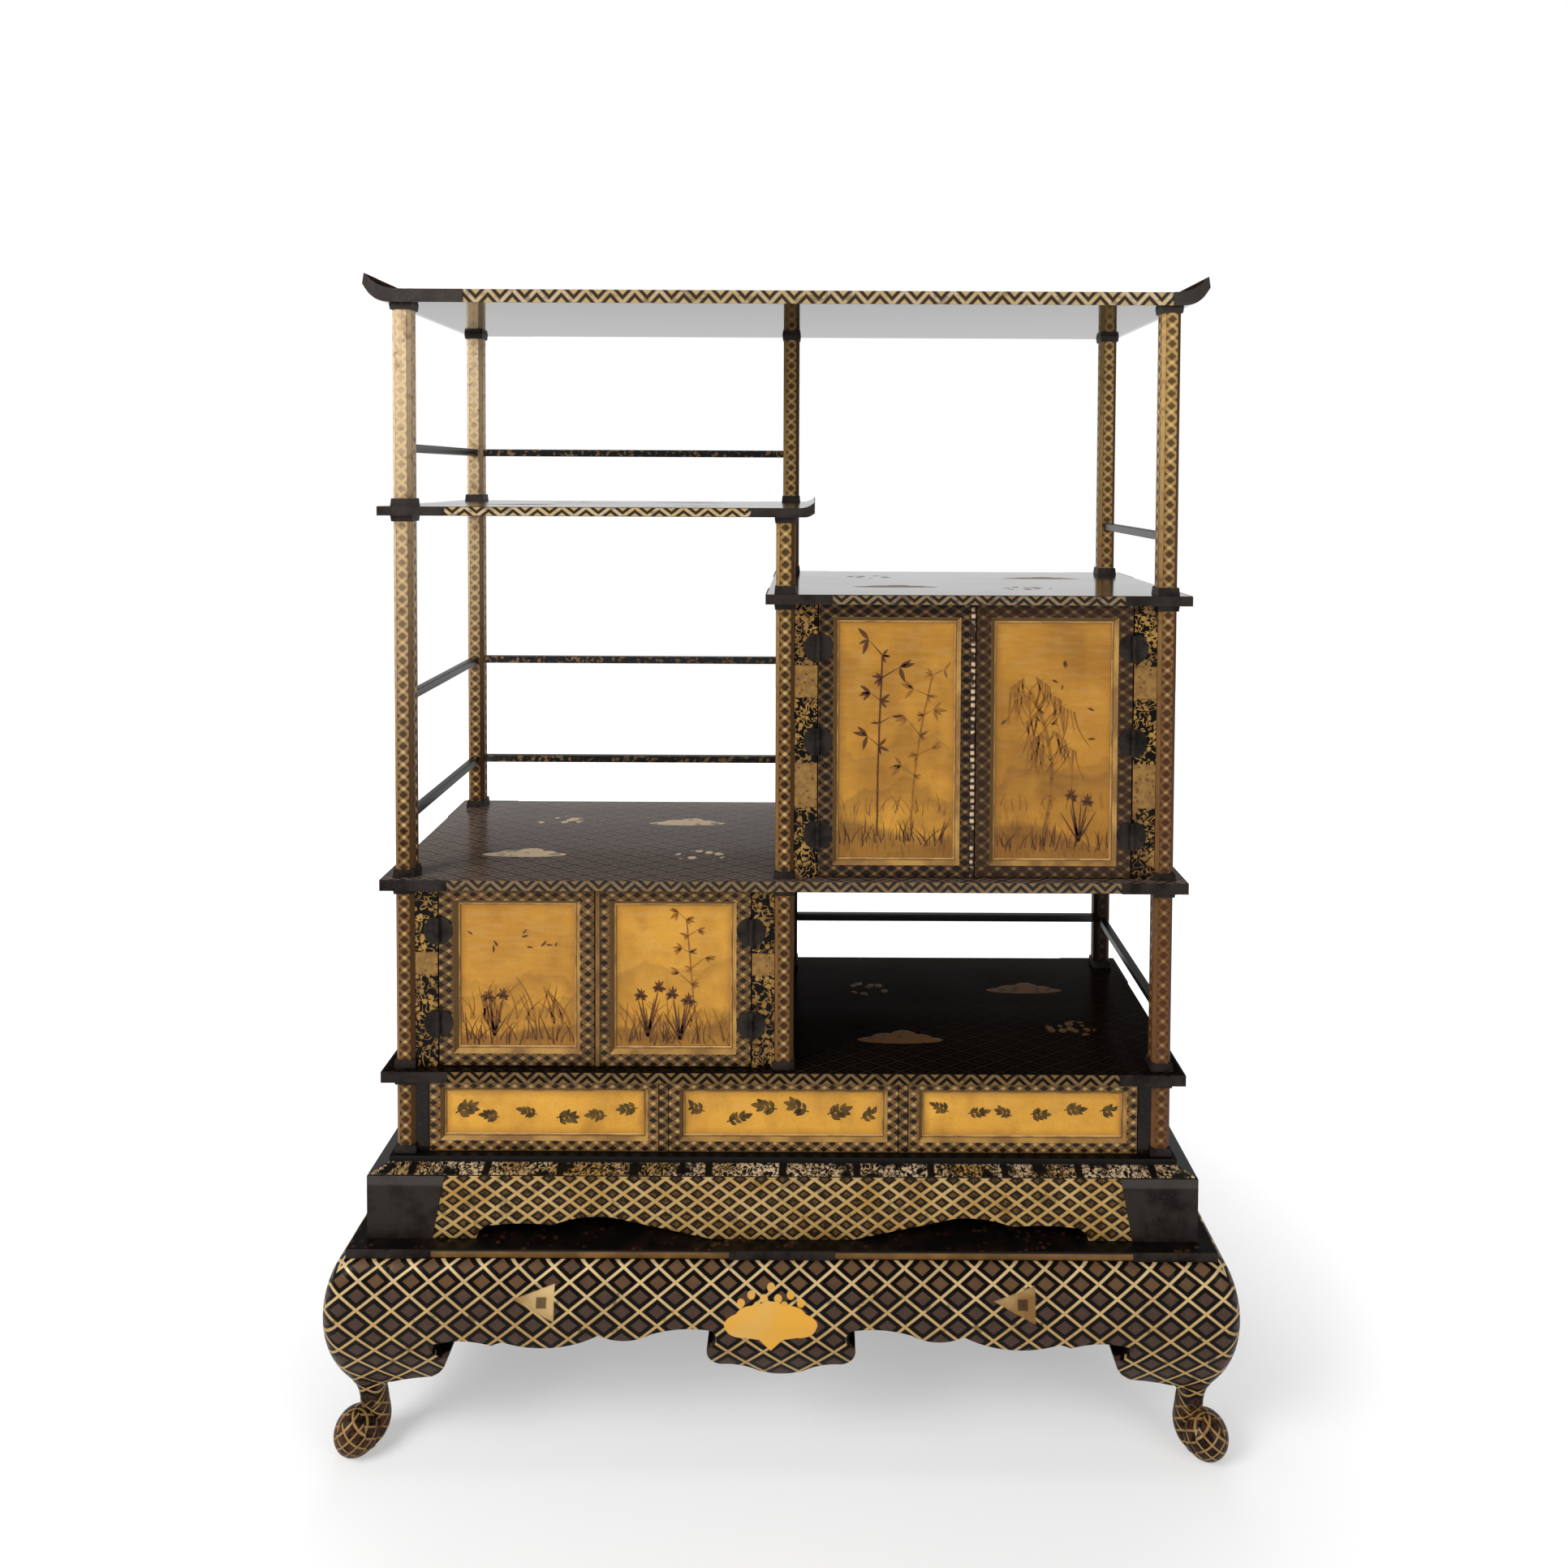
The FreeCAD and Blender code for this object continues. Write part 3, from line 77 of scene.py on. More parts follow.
# Plants on the doors: a seed, then the kinds and values of the far and of the near ones
PLANTS = {
    "upper_left": (11, (("bamboo", 0.62, 0.72, 0.06, 27), ("grass", 0.05, 0.95, 0.2, 26, (12, 26))),
                   (("bamboo", 0.34, 0.84, 0.03, 30), ("grass", 0.02, 0.98, 0.07, 40, (14, 34)))),
    "upper_right": (12, (("willow", 0.42, 0.66), ("grass", 0.05, 0.95, 0.22, 24, (10, 22))),
                    (("drifting", 12, 0.5, 0.85), ("iris", 0.72, 0.08),
                     ("grass", 0.02, 0.98, 0.05, 40, (14, 32)))),
    "lower_left": (13, (("grass", 0.03, 0.97, 0.18, 36, (24, 62)),),
                   (("grass", 0.02, 0.98, 0.04, 44, (12, 40)), ("iris", 0.3, 0.08),
                    ("drifting", 9, 0.5, 0.85))),
    "lower_right": (14, (("bamboo", 0.7, 0.8, -0.1, 22), ("grass", 0.03, 0.97, 0.14, 30, (16, 40))),
                    (("iris", 0.28, 0.08), ("iris", 0.55, 0.06), ("grass", 0.02, 0.98, 0.04, 40, (12, 30)))),
}

# Boards: the edge's brightness, gloss, roughness, share of rubbing and painted sheen, and gilding of the top;
# in millimetres the places and sizes of its clouds and the places of its sprays
BOARDS = {
    # The lower board keeps no rubbing or sheen and takes a darker gilding, as painted shade of the lower bay;
    # the middle board's large share is rubbing and painted sheen
    "lower_board": (0.1, 0.05, 0.14, 0.0, "shadowed_gilding",
                    (((160, -89), 119), ((360, 62), 114), ((-250, 20), 120)), ((126, 66), (405, -55))),
    "middle_board": (0.15, 0.3, 0.14, 0.8, "cream",
                     (((-365, -78), 117), ((-154, 64), 114), ((250, 20), 120)), ((-350, 75), (-120, -80))),
    "right_cupboard_top": (0.25, 0.7, 0.1, 0.2, "tan",
                           (((150, -70), 118), ((380, 66), 116)), ((330, -84), (120, 80))),
    "small_left_shelf": (0.85, 0.5, 0.12, 0.2, "tan",
                         (((-380, -60), 116), ((-150, 70), 116)), ((-330, 80), (-130, -70))),
    "top_board": (0.85, 1.0, 0.06, 0.2, "tan",
                  (((-330, -60), 130), ((-20, 70), 140), ((310, -40), 130)), ((-180, 80), (150, -80))),
}
# Thickness in millimetres of the boards whose ends turn up
UPTURNED = {"top_board": 17, "small_left_shelf": 12}
# Heights in millimetres of the tan blocks on the cupboards' stiles
STILE_BLOCKS = ((981, 1023), (836, 894), (611, 640))
# Hills on the doors, far to near: waves, start, swing, level, slope, unevenness, depth and strength
RIDGES = (
    (7.3, 2, 0.05, 0.5, -0.12, 0.3, 0.10, 0.4),
    (5.6, 1, 0.06, 0.3, 0.12, 0.26, 0.13, 0.55),
    (4.1, 3, 0.04, 0.13, -0.06, 0, 0.12, 0.7),
)

# Lights: name, place, aim, size and power
LIGHTS = (
    ("key_light", (-3.0, -2.3, 2.9), (0, 0, 0.8), 2.0, 145),
    ("fill_light", (2.8, -2.8, 1.8), (0, 0, 0.7), 2.2, 50),
    ("top_light", (0, 0.6, 3.4), (0, 0, 0.8), 2.2, 45),
)


def colour(name, default, description):
    return bpy.props.FloatVectorProperty(name=name, description=description, default=default, subtype="COLOR",
                                         size=3, min=0, max=1)


def length(name, default, description):
    return bpy.props.FloatProperty(name=name, description=description, default=default, unit="LENGTH",
                                   min=0.001)


def angle(name, degrees, description):
    return bpy.props.FloatProperty(name=name, description=description, default=math.radians(degrees),
                                   subtype="ANGLE")


def factor(name, default, description):
    return bpy.props.FloatProperty(name=name, description=description, default=default, subtype="FACTOR")


class CabinetColours(bpy.types.PropertyGroup):
    """Colours of the lacquer, the gilding and the metal"""

    gold: colour("Gold", (0.44, 0.25, 0.065), "Gold lines of the trellis and the edges")
    # Also part of the painted top light on the posts and of the painted light on the panel beads
    pale_gold: colour("Pale gold", (0.66, 0.47, 0.21), "Rubbed gold and clouds")
    # Also the painted shade on moulded frames' slopes and on the posts' right-facing bevels
    dim_gold: colour("Dim gold", (0.13, 0.068, 0.020), "Worn gold lines on the darker frames and edges")
    panel_gold: colour("Panel gold", (0.80, 0.405, 0.056), "Ground of the door and drawer panels")
    # Also the painted shade along the frames round the panels
    deep_gold: colour("Deep gold", (0.33, 0.138, 0.020), "Darker gold of the panels and their painting")
    # Painted shade: the lower board's clouds take this darker gilding for the shade of the lower bay
    shadowed_gilding: colour("Dull gilding", (0.13, 0.055, 0.012), "Clouds on the lower board")
    tan: colour("Tan", (0.24, 0.125, 0.040), "Gold-brown of the posts and frames")
    brown: colour("Brown", (0.030, 0.0145, 0.0085), "Brown lozenges between the gold lines")
    ink: colour("Ink", (0.105, 0.045, 0.020), "Dark painting on the gold panels")
    soft_ink: colour("Soft ink", (0.21, 0.092, 0.028), "Far plants on the doors")
    sprig_ink: colour("Sprig ink", (0.050, 0.030, 0.008), "Sprigs on the drawers")
    sprig_light: colour("Sprig light", (0.15, 0.08, 0.016), "Paler parts of the sprigs")
    # Also painted shade on the posts and on the panel beads' shaded sides
    red_brown: colour("Red brown", (0.10, 0.036, 0.014), "Red-brown lines and worn lacquer")
    # Also the painted shadow on the back right posts of the lower bay
    black: colour("Black", (0.0030, 0.0022, 0.0018), "Black lacquer")
    # Greyish black: worn lacquer in the stand's lozenges, and a painted reflection on the boards' tops
    worn_black_and_sheen: colour("Worn black", (0.155, 0.112, 0.092), "Rubbed black lacquer on the open shelf")
    # Also the painted highlight on the posts' upper left and the painted light on the panel beads
    cream: colour("Cream", (0.74, 0.55, 0.34), "Light beads and scrollwork")
    metal: colour("Metal", (0.0080, 0.0060, 0.0050), "Dark metal mounts")
    rubbed_metal: colour("Rubbed metal", (0.030, 0.023, 0.019), "Paler metal where it is rubbed")
    # Painted highlight: the metal turns this greyer colour towards the top
    metal_highlight: colour("High metal", (0.13, 0.11, 0.10), "Greyer metal near the top")
    # Painted light on the top edge of the plinth's metal corners
    lit_metal: colour("Lit metal", (0.11, 0.095, 0.085), "Upper part of the plinth's metal corners")


class CabinetPatterns(bpy.types.PropertyGroup):
    """Sizes and levels of the patterns"""

    trellis_width: length("Trellis width", 0.04484, "Lozenges on the stand's front, across")
    side_width: length("Side trellis width", 0.0426, "Lozenges on the stand's sides, across")
    trellis_height: length("Trellis height", 0.036, "Lozenges on the stand, up")
    trellis_top: length("Trellis top", 0.268, "Level that the stand's lozenges start from")
    fullest_level: length("Fullest level", 0.192, "Level where the stand swells most")
    fine_width: length("Fine trellis width", 0.0278, "Lozenges on the plinth, across")
    fine_height: length("Fine trellis height", 0.0201, "Lozenges on the plinth, up")
    chain_pitch: length("Chain pitch", 0.01605, "Lozenges up the posts")
    net_width: length("Net width", 0.0216, "Meshes of the net on the door and drawer frames, across")
    net_height: length("Net height", 0.0151, "Meshes of the net on the door and drawer frames, up")
    edge_pitch: length("Edge pitch", 0.0315, "Lozenges along the boards' edges")
    shelf_pitch: length("Shelf pitch", 0.044, "Faint lozenges on the boards' tops")


class CabinetStudio(bpy.types.PropertyGroup):
    """Place and lens of the camera"""

    camera_ahead: length("Camera ahead", 1.621, "Camera in front of the cabinet's middle")
    camera_right: length("Camera right", 0.0383, "Camera to the right of the cabinet's middle")
    camera_height: length("Camera height", 1.2717, "Camera above the floor")
    lens: bpy.props.FloatProperty(name="Lens", description="Focal length in millimetres", default=25.64,
                                  unit="CAMERA", min=1)
    pitch: angle("Pitch", 1.73, "Camera's tilt down")
    roll: angle("Roll", -0.27, "Camera's turn about its view")
    shift_right: factor("Shift right", -0.01998, "Shift of the picture, as a share of its width")
    shift_up: factor("Shift up", -0.17516, "Shift of the picture, as a share of its width")


def operation(kind, swapped=False):
    """A method of Number that adds one Math node."""
    def method(self, *others):
        return self.nodes.math(kind, *((*others, self) if swapped else (self, *others)))
    return method


class Number:
    """A number that varies over a surface; arithmetic on it adds Math nodes to its tree."""

    def __init__(self, nodes, socket):
        self.nodes = nodes
        self.socket = socket

    __add__ = __radd__ = operation("ADD")
    __sub__ = operation("SUBTRACT")
    __rsub__ = operation("SUBTRACT", swapped=True)
    __mul__ = __rmul__ = operation("MULTIPLY")
    __truediv__ = operation("DIVIDE")
    __rtruediv__ = operation("DIVIDE", swapped=True)
    __abs__ = operation("ABSOLUTE")
    least = operation("MINIMUM")
    most = operation("MAXIMUM")
    over = operation("GREATER_THAN")
    under = operation("LESS_THAN")

    def to_nearest(self, period):
        """Distance to the nearest multiple of the period."""
        return self.nodes.math("PINGPONG", self, period / 2)

    def below(self, limit, soft):
        """1 below the limit and 0 above it, with a soft step."""
        return self.nodes.math("MULTIPLY_ADD", self, -1 / soft, limit / soft + 0.5, clamp=True)


def least_of(numbers):
    return functools.reduce(Number.least, numbers)


def most_of(numbers):
    return functools.reduce(Number.most, numbers)


class Nodes:
    """A node tree that is filled through node() alone."""

    def __init__(self, tree):
        self.tree = tree
        tree.nodes.clear()

    def node(self, kind, settings=None, values=None):
        node = self.tree.nodes.new(kind)
        for key, value in (settings or {}).items():
            setattr(node, key, value)
        for key, value in (values or {}).items():
            self.feed(node.inputs[key], value)
        return node

    def feed(self, socket, value):
        if isinstance(value, Number):
            value = value.socket
        if isinstance(value, bpy.types.NodeSocket):
            self.tree.links.new(value, socket)
        elif socket.type == "RGBA" and len(value) == 3:
            socket.default_value = (*value, 1)
        else:
            socket.default_value = value

    def math(self, operation, *values, clamp=False):
        settings = {"operation": operation, "use_clamp": clamp}
        return Number(self, self.node("ShaderNodeMath", settings, dict(enumerate(values))).outputs[0])

    def shader(self, kind, **values):
        return self.node("ShaderNode" + kind, {}, values).outputs[0]

    def ray(self, kind):
        """1 for light rays of one kind."""
        return Number(self, self.node("ShaderNodeLightPath").outputs[kind])

    def blend(self, mask, shader, other):
        """One shader, with another over it where the mask is 1."""
        return self.node("ShaderNodeMixShader", {}, {0: mask, 1: shader, 2: other}).outputs[0]


class Finish(Nodes):
    """One material; lengths on the surface are in millimetres."""

    def __init__(self, name):
        self.material = bpy.data.materials.new(name)
        self.material.use_nodes = True
        super().__init__(self.material.node_tree)
        coordinates = self.node("ShaderNodeTexCoord")
        self.place = coordinates.outputs["Object"]
        self.x, self.y, self.z = [axis * 1000 for axis in self.axes(self.place)]
        self.normal_x, self.normal_y, self.normal_z = self.axes(coordinates.outputs["Normal"])
        self.colours = bpy.context.scene.cabinet_colours
        self.patterns = bpy.context.scene.cabinet_patterns

    def axes(self, vector):
        node = self.node("ShaderNodeSeparateXYZ", {}, {0: vector})
        return [Number(self, output) for output in node.outputs]

    def along_face(self):
        """Place along an upright face: x on the front and back, y on the sides."""
        on_side = abs(self.normal_x).over(abs(self.normal_y))
        return self.x + on_side * (self.y - self.x)

    def mix(self, base, *layers):
        """The base colour with others over it in turn, each where its mask is 1."""
        for mask, cover in layers:
            base = self.node("ShaderNodeMix", {"data_type": "RGBA"}, {0: mask, 6: base, 7: cover}).outputs[2]
        return base

    def noise(self, scale, detail, stretch=(1, 1, 1), distortion=0.0):
        place = self.node("ShaderNodeVectorMath", {"operation": "MULTIPLY"}, {0: self.place, 1: stretch})
        values = {"Vector": place.outputs[0], "Scale": scale, "Detail": detail, "Distortion": distortion}
        node = self.node("ShaderNodeTexNoise", {}, values)
        return Number(self, node.outputs["Fac"])

    def cells(self, scale):
        node = self.node("ShaderNodeTexVoronoi", {}, {"Vector": self.place, "Scale": scale})
        return Number(self, node.outputs["Distance"])

    def lozenges(self, across, up):
        """0 on the crossing lines of a lozenge trellis, a half in the middle of each lozenge."""
        return (across + up).to_nearest(1).least((across - up).to_nearest(1))

    def ellipse(self, across, up, centre, radii):
        """0 at the middle of an ellipse, 1 on its rim."""
        wide = (across - centre[0]) / radii[0]
        tall = (up - centre[1]) / radii[1]
        return wide * wide + tall * tall

    def cloud(self, centre, size):
        """A flat-footed cloud of lobes on a board's top: 0 inside, rising past 1 outside."""
        lobes = ((0, 0, 0.5, 0.085), (-0.16, 0.05, 0.17, 0.10), (0.05, 0.09, 0.16, 0.13),
                 (0.24, 0.04, 0.14, 0.09))
        return least_of(self.ellipse(self.x, self.y, (centre[0] + dx * size, centre[1] + dy * size),
                                     (wide * size, tall * size)) for dx, dy, wide, tall in lobes)

    def ramp(self, value, start, end, low, high):
        node = self.node("ShaderNodeMapRange", {"interpolation_type": "SMOOTHSTEP"},
                         {"Value": value, "From Min": start, "From Max": end, "To Min": low, "To Max": high})
        return node.outputs[0]

    def shade(self, base, roughness, height, metallic=0.0, specular=0.2, relief=0.0002):
        """Ends the material; height is 0 to 1 and relief is its depth in metres."""
        bump = self.node("ShaderNodeBump", {}, {"Strength": 0.7, "Distance": relief, "Height": height})
        values = {"Base Color": base, "Roughness": roughness, "Metallic": metallic,
                  "Specular IOR Level": specular, "Normal": bump.outputs[0]}
        return self.end(self.shader("BsdfPrincipled", **values))

    def end(self, shader):
        self.node("ShaderNodeOutputMaterial", {}, {0: shader})
        return self.material


def finish(name):
    """A new material and the cabinet's colours."""
    f = Finish(name)
    return f, f.colours


def box_mm(node):
    """The low and the high corner of a CAD node, in millimetres."""
    return [corner * 1000 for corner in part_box(node)]


def stand_trellis(name, cut_along=None):
    """Bold gold trellis on black, with a cloud and folded papers on front and back; sawn edges are black."""
    f, c = finish(name)
    p = f.patterns
    high = box_mm("stand_top_board")[1]
    bulge = -box_mm("stand_front_left_leg")[0].x - high.x
    side, front = abs(f.x) - high.x, abs(f.y) - high.y
    wide, narrow = p.trellis_width * 1000, p.side_width * 1000
    columns = side.least(front) * (side.over(front) * (1 / narrow - 1 / wide) + 1 / wide)
    up = f.z + (bulge - side.most(front)) * 0.5 * (f.z.over(p.fullest_level * 1000) * 2 - 1)
    net = f.lozenges(columns, (up - p.trellis_top * 1000) / (p.trellis_height * 1000))
    wear, grain, worn = f.noise(14, 4), f.noise(260, 3), f.noise(48, 4)
    foot, ball = f.z.below(80, 24), f.z.below(62, 14)
    line = net.below(0.062, 0.03) * (1 - worn.below(0.36, 0.06) * 0.6)
    scrolls = f.lozenges(f.along_face() / 19, (f.z - 4) / 16).below(0.085, 0.05)
    line = line + (scrolls * (1 - worn.below(0.42, 0.1) * 0.7) - line) * ball
    gold = f.mix(c.pale_gold, (0.3, c.cream), (f.z.below(222, 70) * 0.6, c.gold),
                 (wear.below(0.46, 0.2) * 0.35, c.tan), (foot * 0.5, c.tan))
    heart = (0.5 - net).below(0.25, 0.03)
    # The top row of lozenges is paler: rubbed lacquer, and partly a painted sheen where the swelling apron
    # turns up to the light
    rubbed_and_sheen = (1 - f.z.below(236, 14)) * wear.below(0.6, 0.25)
    kernel = f.mix(c.brown, (grain.below(0.5, 0.2) * 0.3, c.red_brown), (0.2, c.worn_black_and_sheen),
                   (rubbed_and_sheen * 0.3, c.tan))
    ground = f.mix(c.black, (heart, kernel), (foot * 0.7, f.mix(c.black, (grain.below(0.5, 0.2), c.brown))),
                   (ball * grain.below(0.52, 0.1) * wear.below(0.55, 0.12) * 0.6, c.red_brown))
    facing = abs(f.normal_y).over(0.35)
    cloud = cloud_pendant(f) * facing
    paper, window = [shape * facing for shape in folded_papers(f)]
    painted = f.mix(ground, (line, gold),
                    (cloud, f.mix(c.panel_gold, (wear.below(0.5, 0.2) * 0.4, c.pale_gold))),
                    (paper, f.mix(c.pale_gold, (wear.below(0.5, 0.3), c.tan))), (window * 0.8, c.brown))
    covered = line.most(cloud).most(paper)
    if cut_along:
        outside = abs(getattr(f, cut_along)).over(0.08)
        painted = f.mix(c.black, (outside, painted))
        covered = covered * outside
    return f.shade(painted, 0.28 + covered * 0.16 + wear * 0.1, covered, metallic=covered * 0.3,
                   specular=0.1, relief=0.00035)


def folded_papers(f):
    """Two folded papers on the apron, and the square window in each."""
    papers, windows = [], []
    for middle in (-310, 300):
        along = f.x - middle
        papers.append((abs(f.z - 224 + along * 0.1) - (along + 30) * 0.42).most(along - 22))
        windows.append(abs(along - 6).most(abs(f.z - 223)) - 6.5)
    return least_of(papers).below(0, 1.5), least_of(windows).below(0, 1.5)


def cloud_pendant(f):
    """Gold cloud of lobes with a pointed foot, and bubbles over it, on the apron's pendant."""
    lobes = ((-13, 198, 59, 20), (-50, 196, 21, 15), (24, 196, 21, 15), (-36, 207, 22, 14), (10, 207, 22, 14),
             (-13, 213, 20, 13))
    bubbles = ((-51, 224), (-38, 233), (-22, 229), (-13, 241), (-4, 229), (12, 233), (25, 224), (-30, 221),
               (4, 221))
    leaf = least_of(f.ellipse(f.x, f.z, (x, z), radii) for x, z, *radii in lobes)
    point = abs(f.x + 13) / 26 + (190 - f.z) / 27
    leaf = leaf.below(1, 0.05).most(point.below(1, 0.05) * f.z.below(194, 1))
    bubble = least_of(f.ellipse(f.x, f.z, middle, (5, 5)) for middle in bubbles)
    return leaf.most(bubble.below(1, 0.3) * 0.9)


def plinth_trellis():
    """Fine gold trellis on black with a brown lozenge in each mesh."""
    f, c = finish("fine_trellis")
    p = f.patterns
    high = box_mm("plinth_cornice")[1]
    foot = box_mm("plinth_front_board")[0].z
    across = (abs(f.x) - high.x).least(abs(f.y) - high.y)
    whole = high.x / (round(2 * high.x / (p.fine_width * 1000)) / 2)
    net = f.lozenges(across / whole, (f.z - foot) / (p.fine_height * 1000))
    line = net.below(0.125, 0.11) * (1 - f.noise(60, 4).below(0.38, 0.06) * 0.4)
    gold = f.mix(c.pale_gold, (0.35 + f.noise(20, 4).below(0.5, 0.25) * 0.65, c.gold))
    kernel = f.mix(c.dim_gold, (f.noise(150, 3).below(0.5, 0.2), c.brown))
    trellis = f.mix(c.black, ((0.5 - net).below(0.2, 0.1), kernel), (line, gold))
    outside = abs(f.normal_z).below(0.5, 0.1)
    covered = line * outside
    painted = f.mix(c.black, (outside, trellis))
    return f.shade(painted, 0.3 + covered * 0.12, covered, metallic=covered * 0.3, specular=0.1,
                   relief=0.00025)


def post_chain():
    """A chain of lozenges up each face of the posts; painted light makes them paler above and at the left,
    and painted shade darkens the bevels facing right, the posts at the right and the back right posts of the
    lower bay.
    """
    f, c = finish("post_chain")
    pitch = f.patterns.chain_pitch * 1000
    middle = sum(box_mm("front_right_post"), Vector()) / 2
    rim = 9  # from a face's middle to the half lozenges along its edges
    across = abs(f.x).least(abs(abs(f.x) - middle.x)).least(abs(abs(f.y) + middle.y))
    along = f.z.to_nearest(pitch)
    away = pitch / 2 - along
    dark = (across / 6.2 + along / 5.6).below(1, 0.45).most(((rim - across) / 5.6 + away / 5).below(1, 0.45))
    wear = f.noise(30, 4)
    knot = (across / 4 + away / 4).below(0.8, 0.7)
    # Painted highlight on the upper parts of the left posts, and painted top light that brightens every post
    # towards the top
    pale = (1 - f.z.below(1100, 600)) * f.x.below(-250, 300)
    painted_top_light = 1 - f.z.below(1150, 400)
    ground = f.mix(c.tan, (wear.below(0.52, 0.3), f.mix(c.tan, (0.4, c.dim_gold))),
                   (painted_top_light * 0.8, f.mix(c.gold, (0.35, c.pale_gold))), (pale * 0.9, c.cream))
    lozenge = f.mix(c.brown, (f.noise(150, 3).below(0.5, 0.2), c.black))
    # The dark lozenges fade under the painted highlight and the painted top light
    chain = f.mix(ground, (knot * 0.8, c.pale_gold), (dark * (0.95 - pale * 0.55 - painted_top_light * 0.15), lozenge))
    # Bevels facing right are dim brown for painted shade; bevels facing left, and those under the painted
    # highlight, keep the face's paler colour as painted light
    edge = f.mix(c.dim_gold, (0.5, c.brown), (f.normal_x.below(0.3, 0.8), ground), (pale * 0.8, ground))
    foot = f.z.below(740, 60)
    # Painted shade: redder and darker towards the right, and redder in the lower bay, fading out towards the
    # top
    painted_shade = (0.45 - f.x.below(250, 500) * 0.4 + foot * 0.15) * (1 - painted_top_light)
    painted = f.mix(edge, (across.below(7.6, 0.5), chain), (abs(across - 7.5).below(0.4, 0.4) * 0.5, c.brown),
                    (f.noise(90, 4).below(0.4, 0.1) * 0.4, c.red_brown), (painted_shade, c.red_brown),
                    # Painted shadow: the back right posts of the lower bay turn nearly black
                    (f.y.over(0) * foot * f.x.over(0) * 0.85, c.black))
    raised = 1 - dark
    return f.shade(painted, 0.36 + wear * 0.12, raised, metallic=raised * 0.2, specular=0.1)


def net_frame(name, brightness, browner, mesh_size, moulded=True):
    """A small lozenge net with black meshes, for door and drawer frames; browner where it is worn. A moulded
    frame's slopes are painted light where they face up or left and painted shade elsewhere.
    """
    f, c = finish(name)
    across = f.x / (f.patterns.net_width * 1000)
    up = f.z / (f.patterns.net_height * 1000)
    rising, falling = (across + up).to_nearest(1), (across - up).to_nearest(1)
    wear = f.noise(24, 4)
    whole = 1 - f.noise(80, 4).below(0.42, 0.08) * 0.35
    line = 1 - (0.5 - rising.least(falling)).below(mesh_size, 0.08)
    knot = rising.most(falling).below(0.17, 0.1)
    gold = f.mix(c.brown, (brightness, f.mix(c.tan, (wear.below(0.5, 0.25), c.dim_gold))))
    net = f.mix(c.black, (browner, c.red_brown), (line * whole, gold),
                (knot * whole * 0.6, f.mix(c.dim_gold, (brightness, c.pale_gold))))
    slope = c.black
    # Painted light and shade on the moulding: slopes facing up or to the left are gold, the others dim gold
    if moulded:
        painted_light = f.normal_z.over(0.3).most(f.normal_x.under(-0.3))
        slope = f.mix(c.dim_gold, (painted_light, f.mix(c.gold, (wear.below(0.5, 0.2), c.tan))))
    flat = (f.normal_y * -1).over(0.93)
    painted = f.mix(slope, (flat, net), (f.normal_y.over(0.5), c.black))
    return f.shade(painted, 0.32 + line * 0.1, line, metallic=line * flat * 0.25, relief=0.0003)


def gold_ground(front, hills=0, tone=0):
    """Gold lacquer ground of a door or drawer: mottling, drifting mist and soft hills along a door's foot."""
    f, c = finish(front + "_ground")
    low, high = box_mm(front + "_panel")
    cloudy, blotch, speck = f.noise(9, 5, (1, 1, 1.6)), f.noise(34, 5), f.noise(520, 2)
    streak = f.noise(26, 5, (1, 1, 5))
    up = (f.z - low.z) / (high.z - low.z)
    mist = streak.below(0.46, 0.16) * (1 - up.below(0.5, 0.5))
    painted = f.mix(c.panel_gold, (cloudy.below(0.5, 0.3) * 0.3 + tone, c.deep_gold),
                    (f.noise(17, 6, (1, 1, 0.6)).below(0.42, 0.16) * 0.25, c.red_brown),
                    (blotch.below(0.4, 0.2) * 0.3, c.deep_gold), (mist * 0.12, c.pale_gold))
    if hills:
        along = (f.x - low.x) / (high.x - low.x)
        for waves, start, swing, level, slope, unevenness, depth, strength in RIDGES:
            ridge = f.math("SINE", along * waves + hills * start) * swing + level
            below = up - (ridge + along * slope * math.cos(hills) + (blotch - 0.5) * unevenness)
            wash = below.below(0, 0.03) * (1 - below.below(-depth, depth * 1.6))
            painted = f.mix(painted, (wash * (streak * 0.7 + 0.3) * strength, c.ink))
        tufts = f.noise(330, 3, (1, 1, 0.16)).below(0.44, 0.08) * below.below(0.05, 0.1)
        painted = f.mix(painted, (tufts * 0.4, c.ink), (below.below(-0.02, 0.06) * 0.35, c.red_brown))
    # Painted shade: the gold darkens along the frame round the panel
    rim = least_of((f.x - low.x, high.x - f.x, f.z - low.z, high.z - f.z))
    painted = f.mix(painted, (speck.below(0.38, 0.1) * 0.25, c.deep_gold),
                    (rim.below(6, 12) * 0.5, c.deep_gold), (f.normal_y.over(0.5), c.black))
    return f.shade(painted, 0.36 + cloudy * 0.12, speck, metallic=0.2, relief=0.00006)


def painted_ink(name, base, highlight):
    """Raised lacquer of the plants on the gold panels."""
    f = Finish(name)
    wash = f.noise(75, 4)
    painted = f.mix(base, (wash.below(0.5, 0.25), highlight))
    return f.shade(painted, 0.38 + wash * 0.15, f.noise(300, 2), metallic=0.1, relief=0.0001)


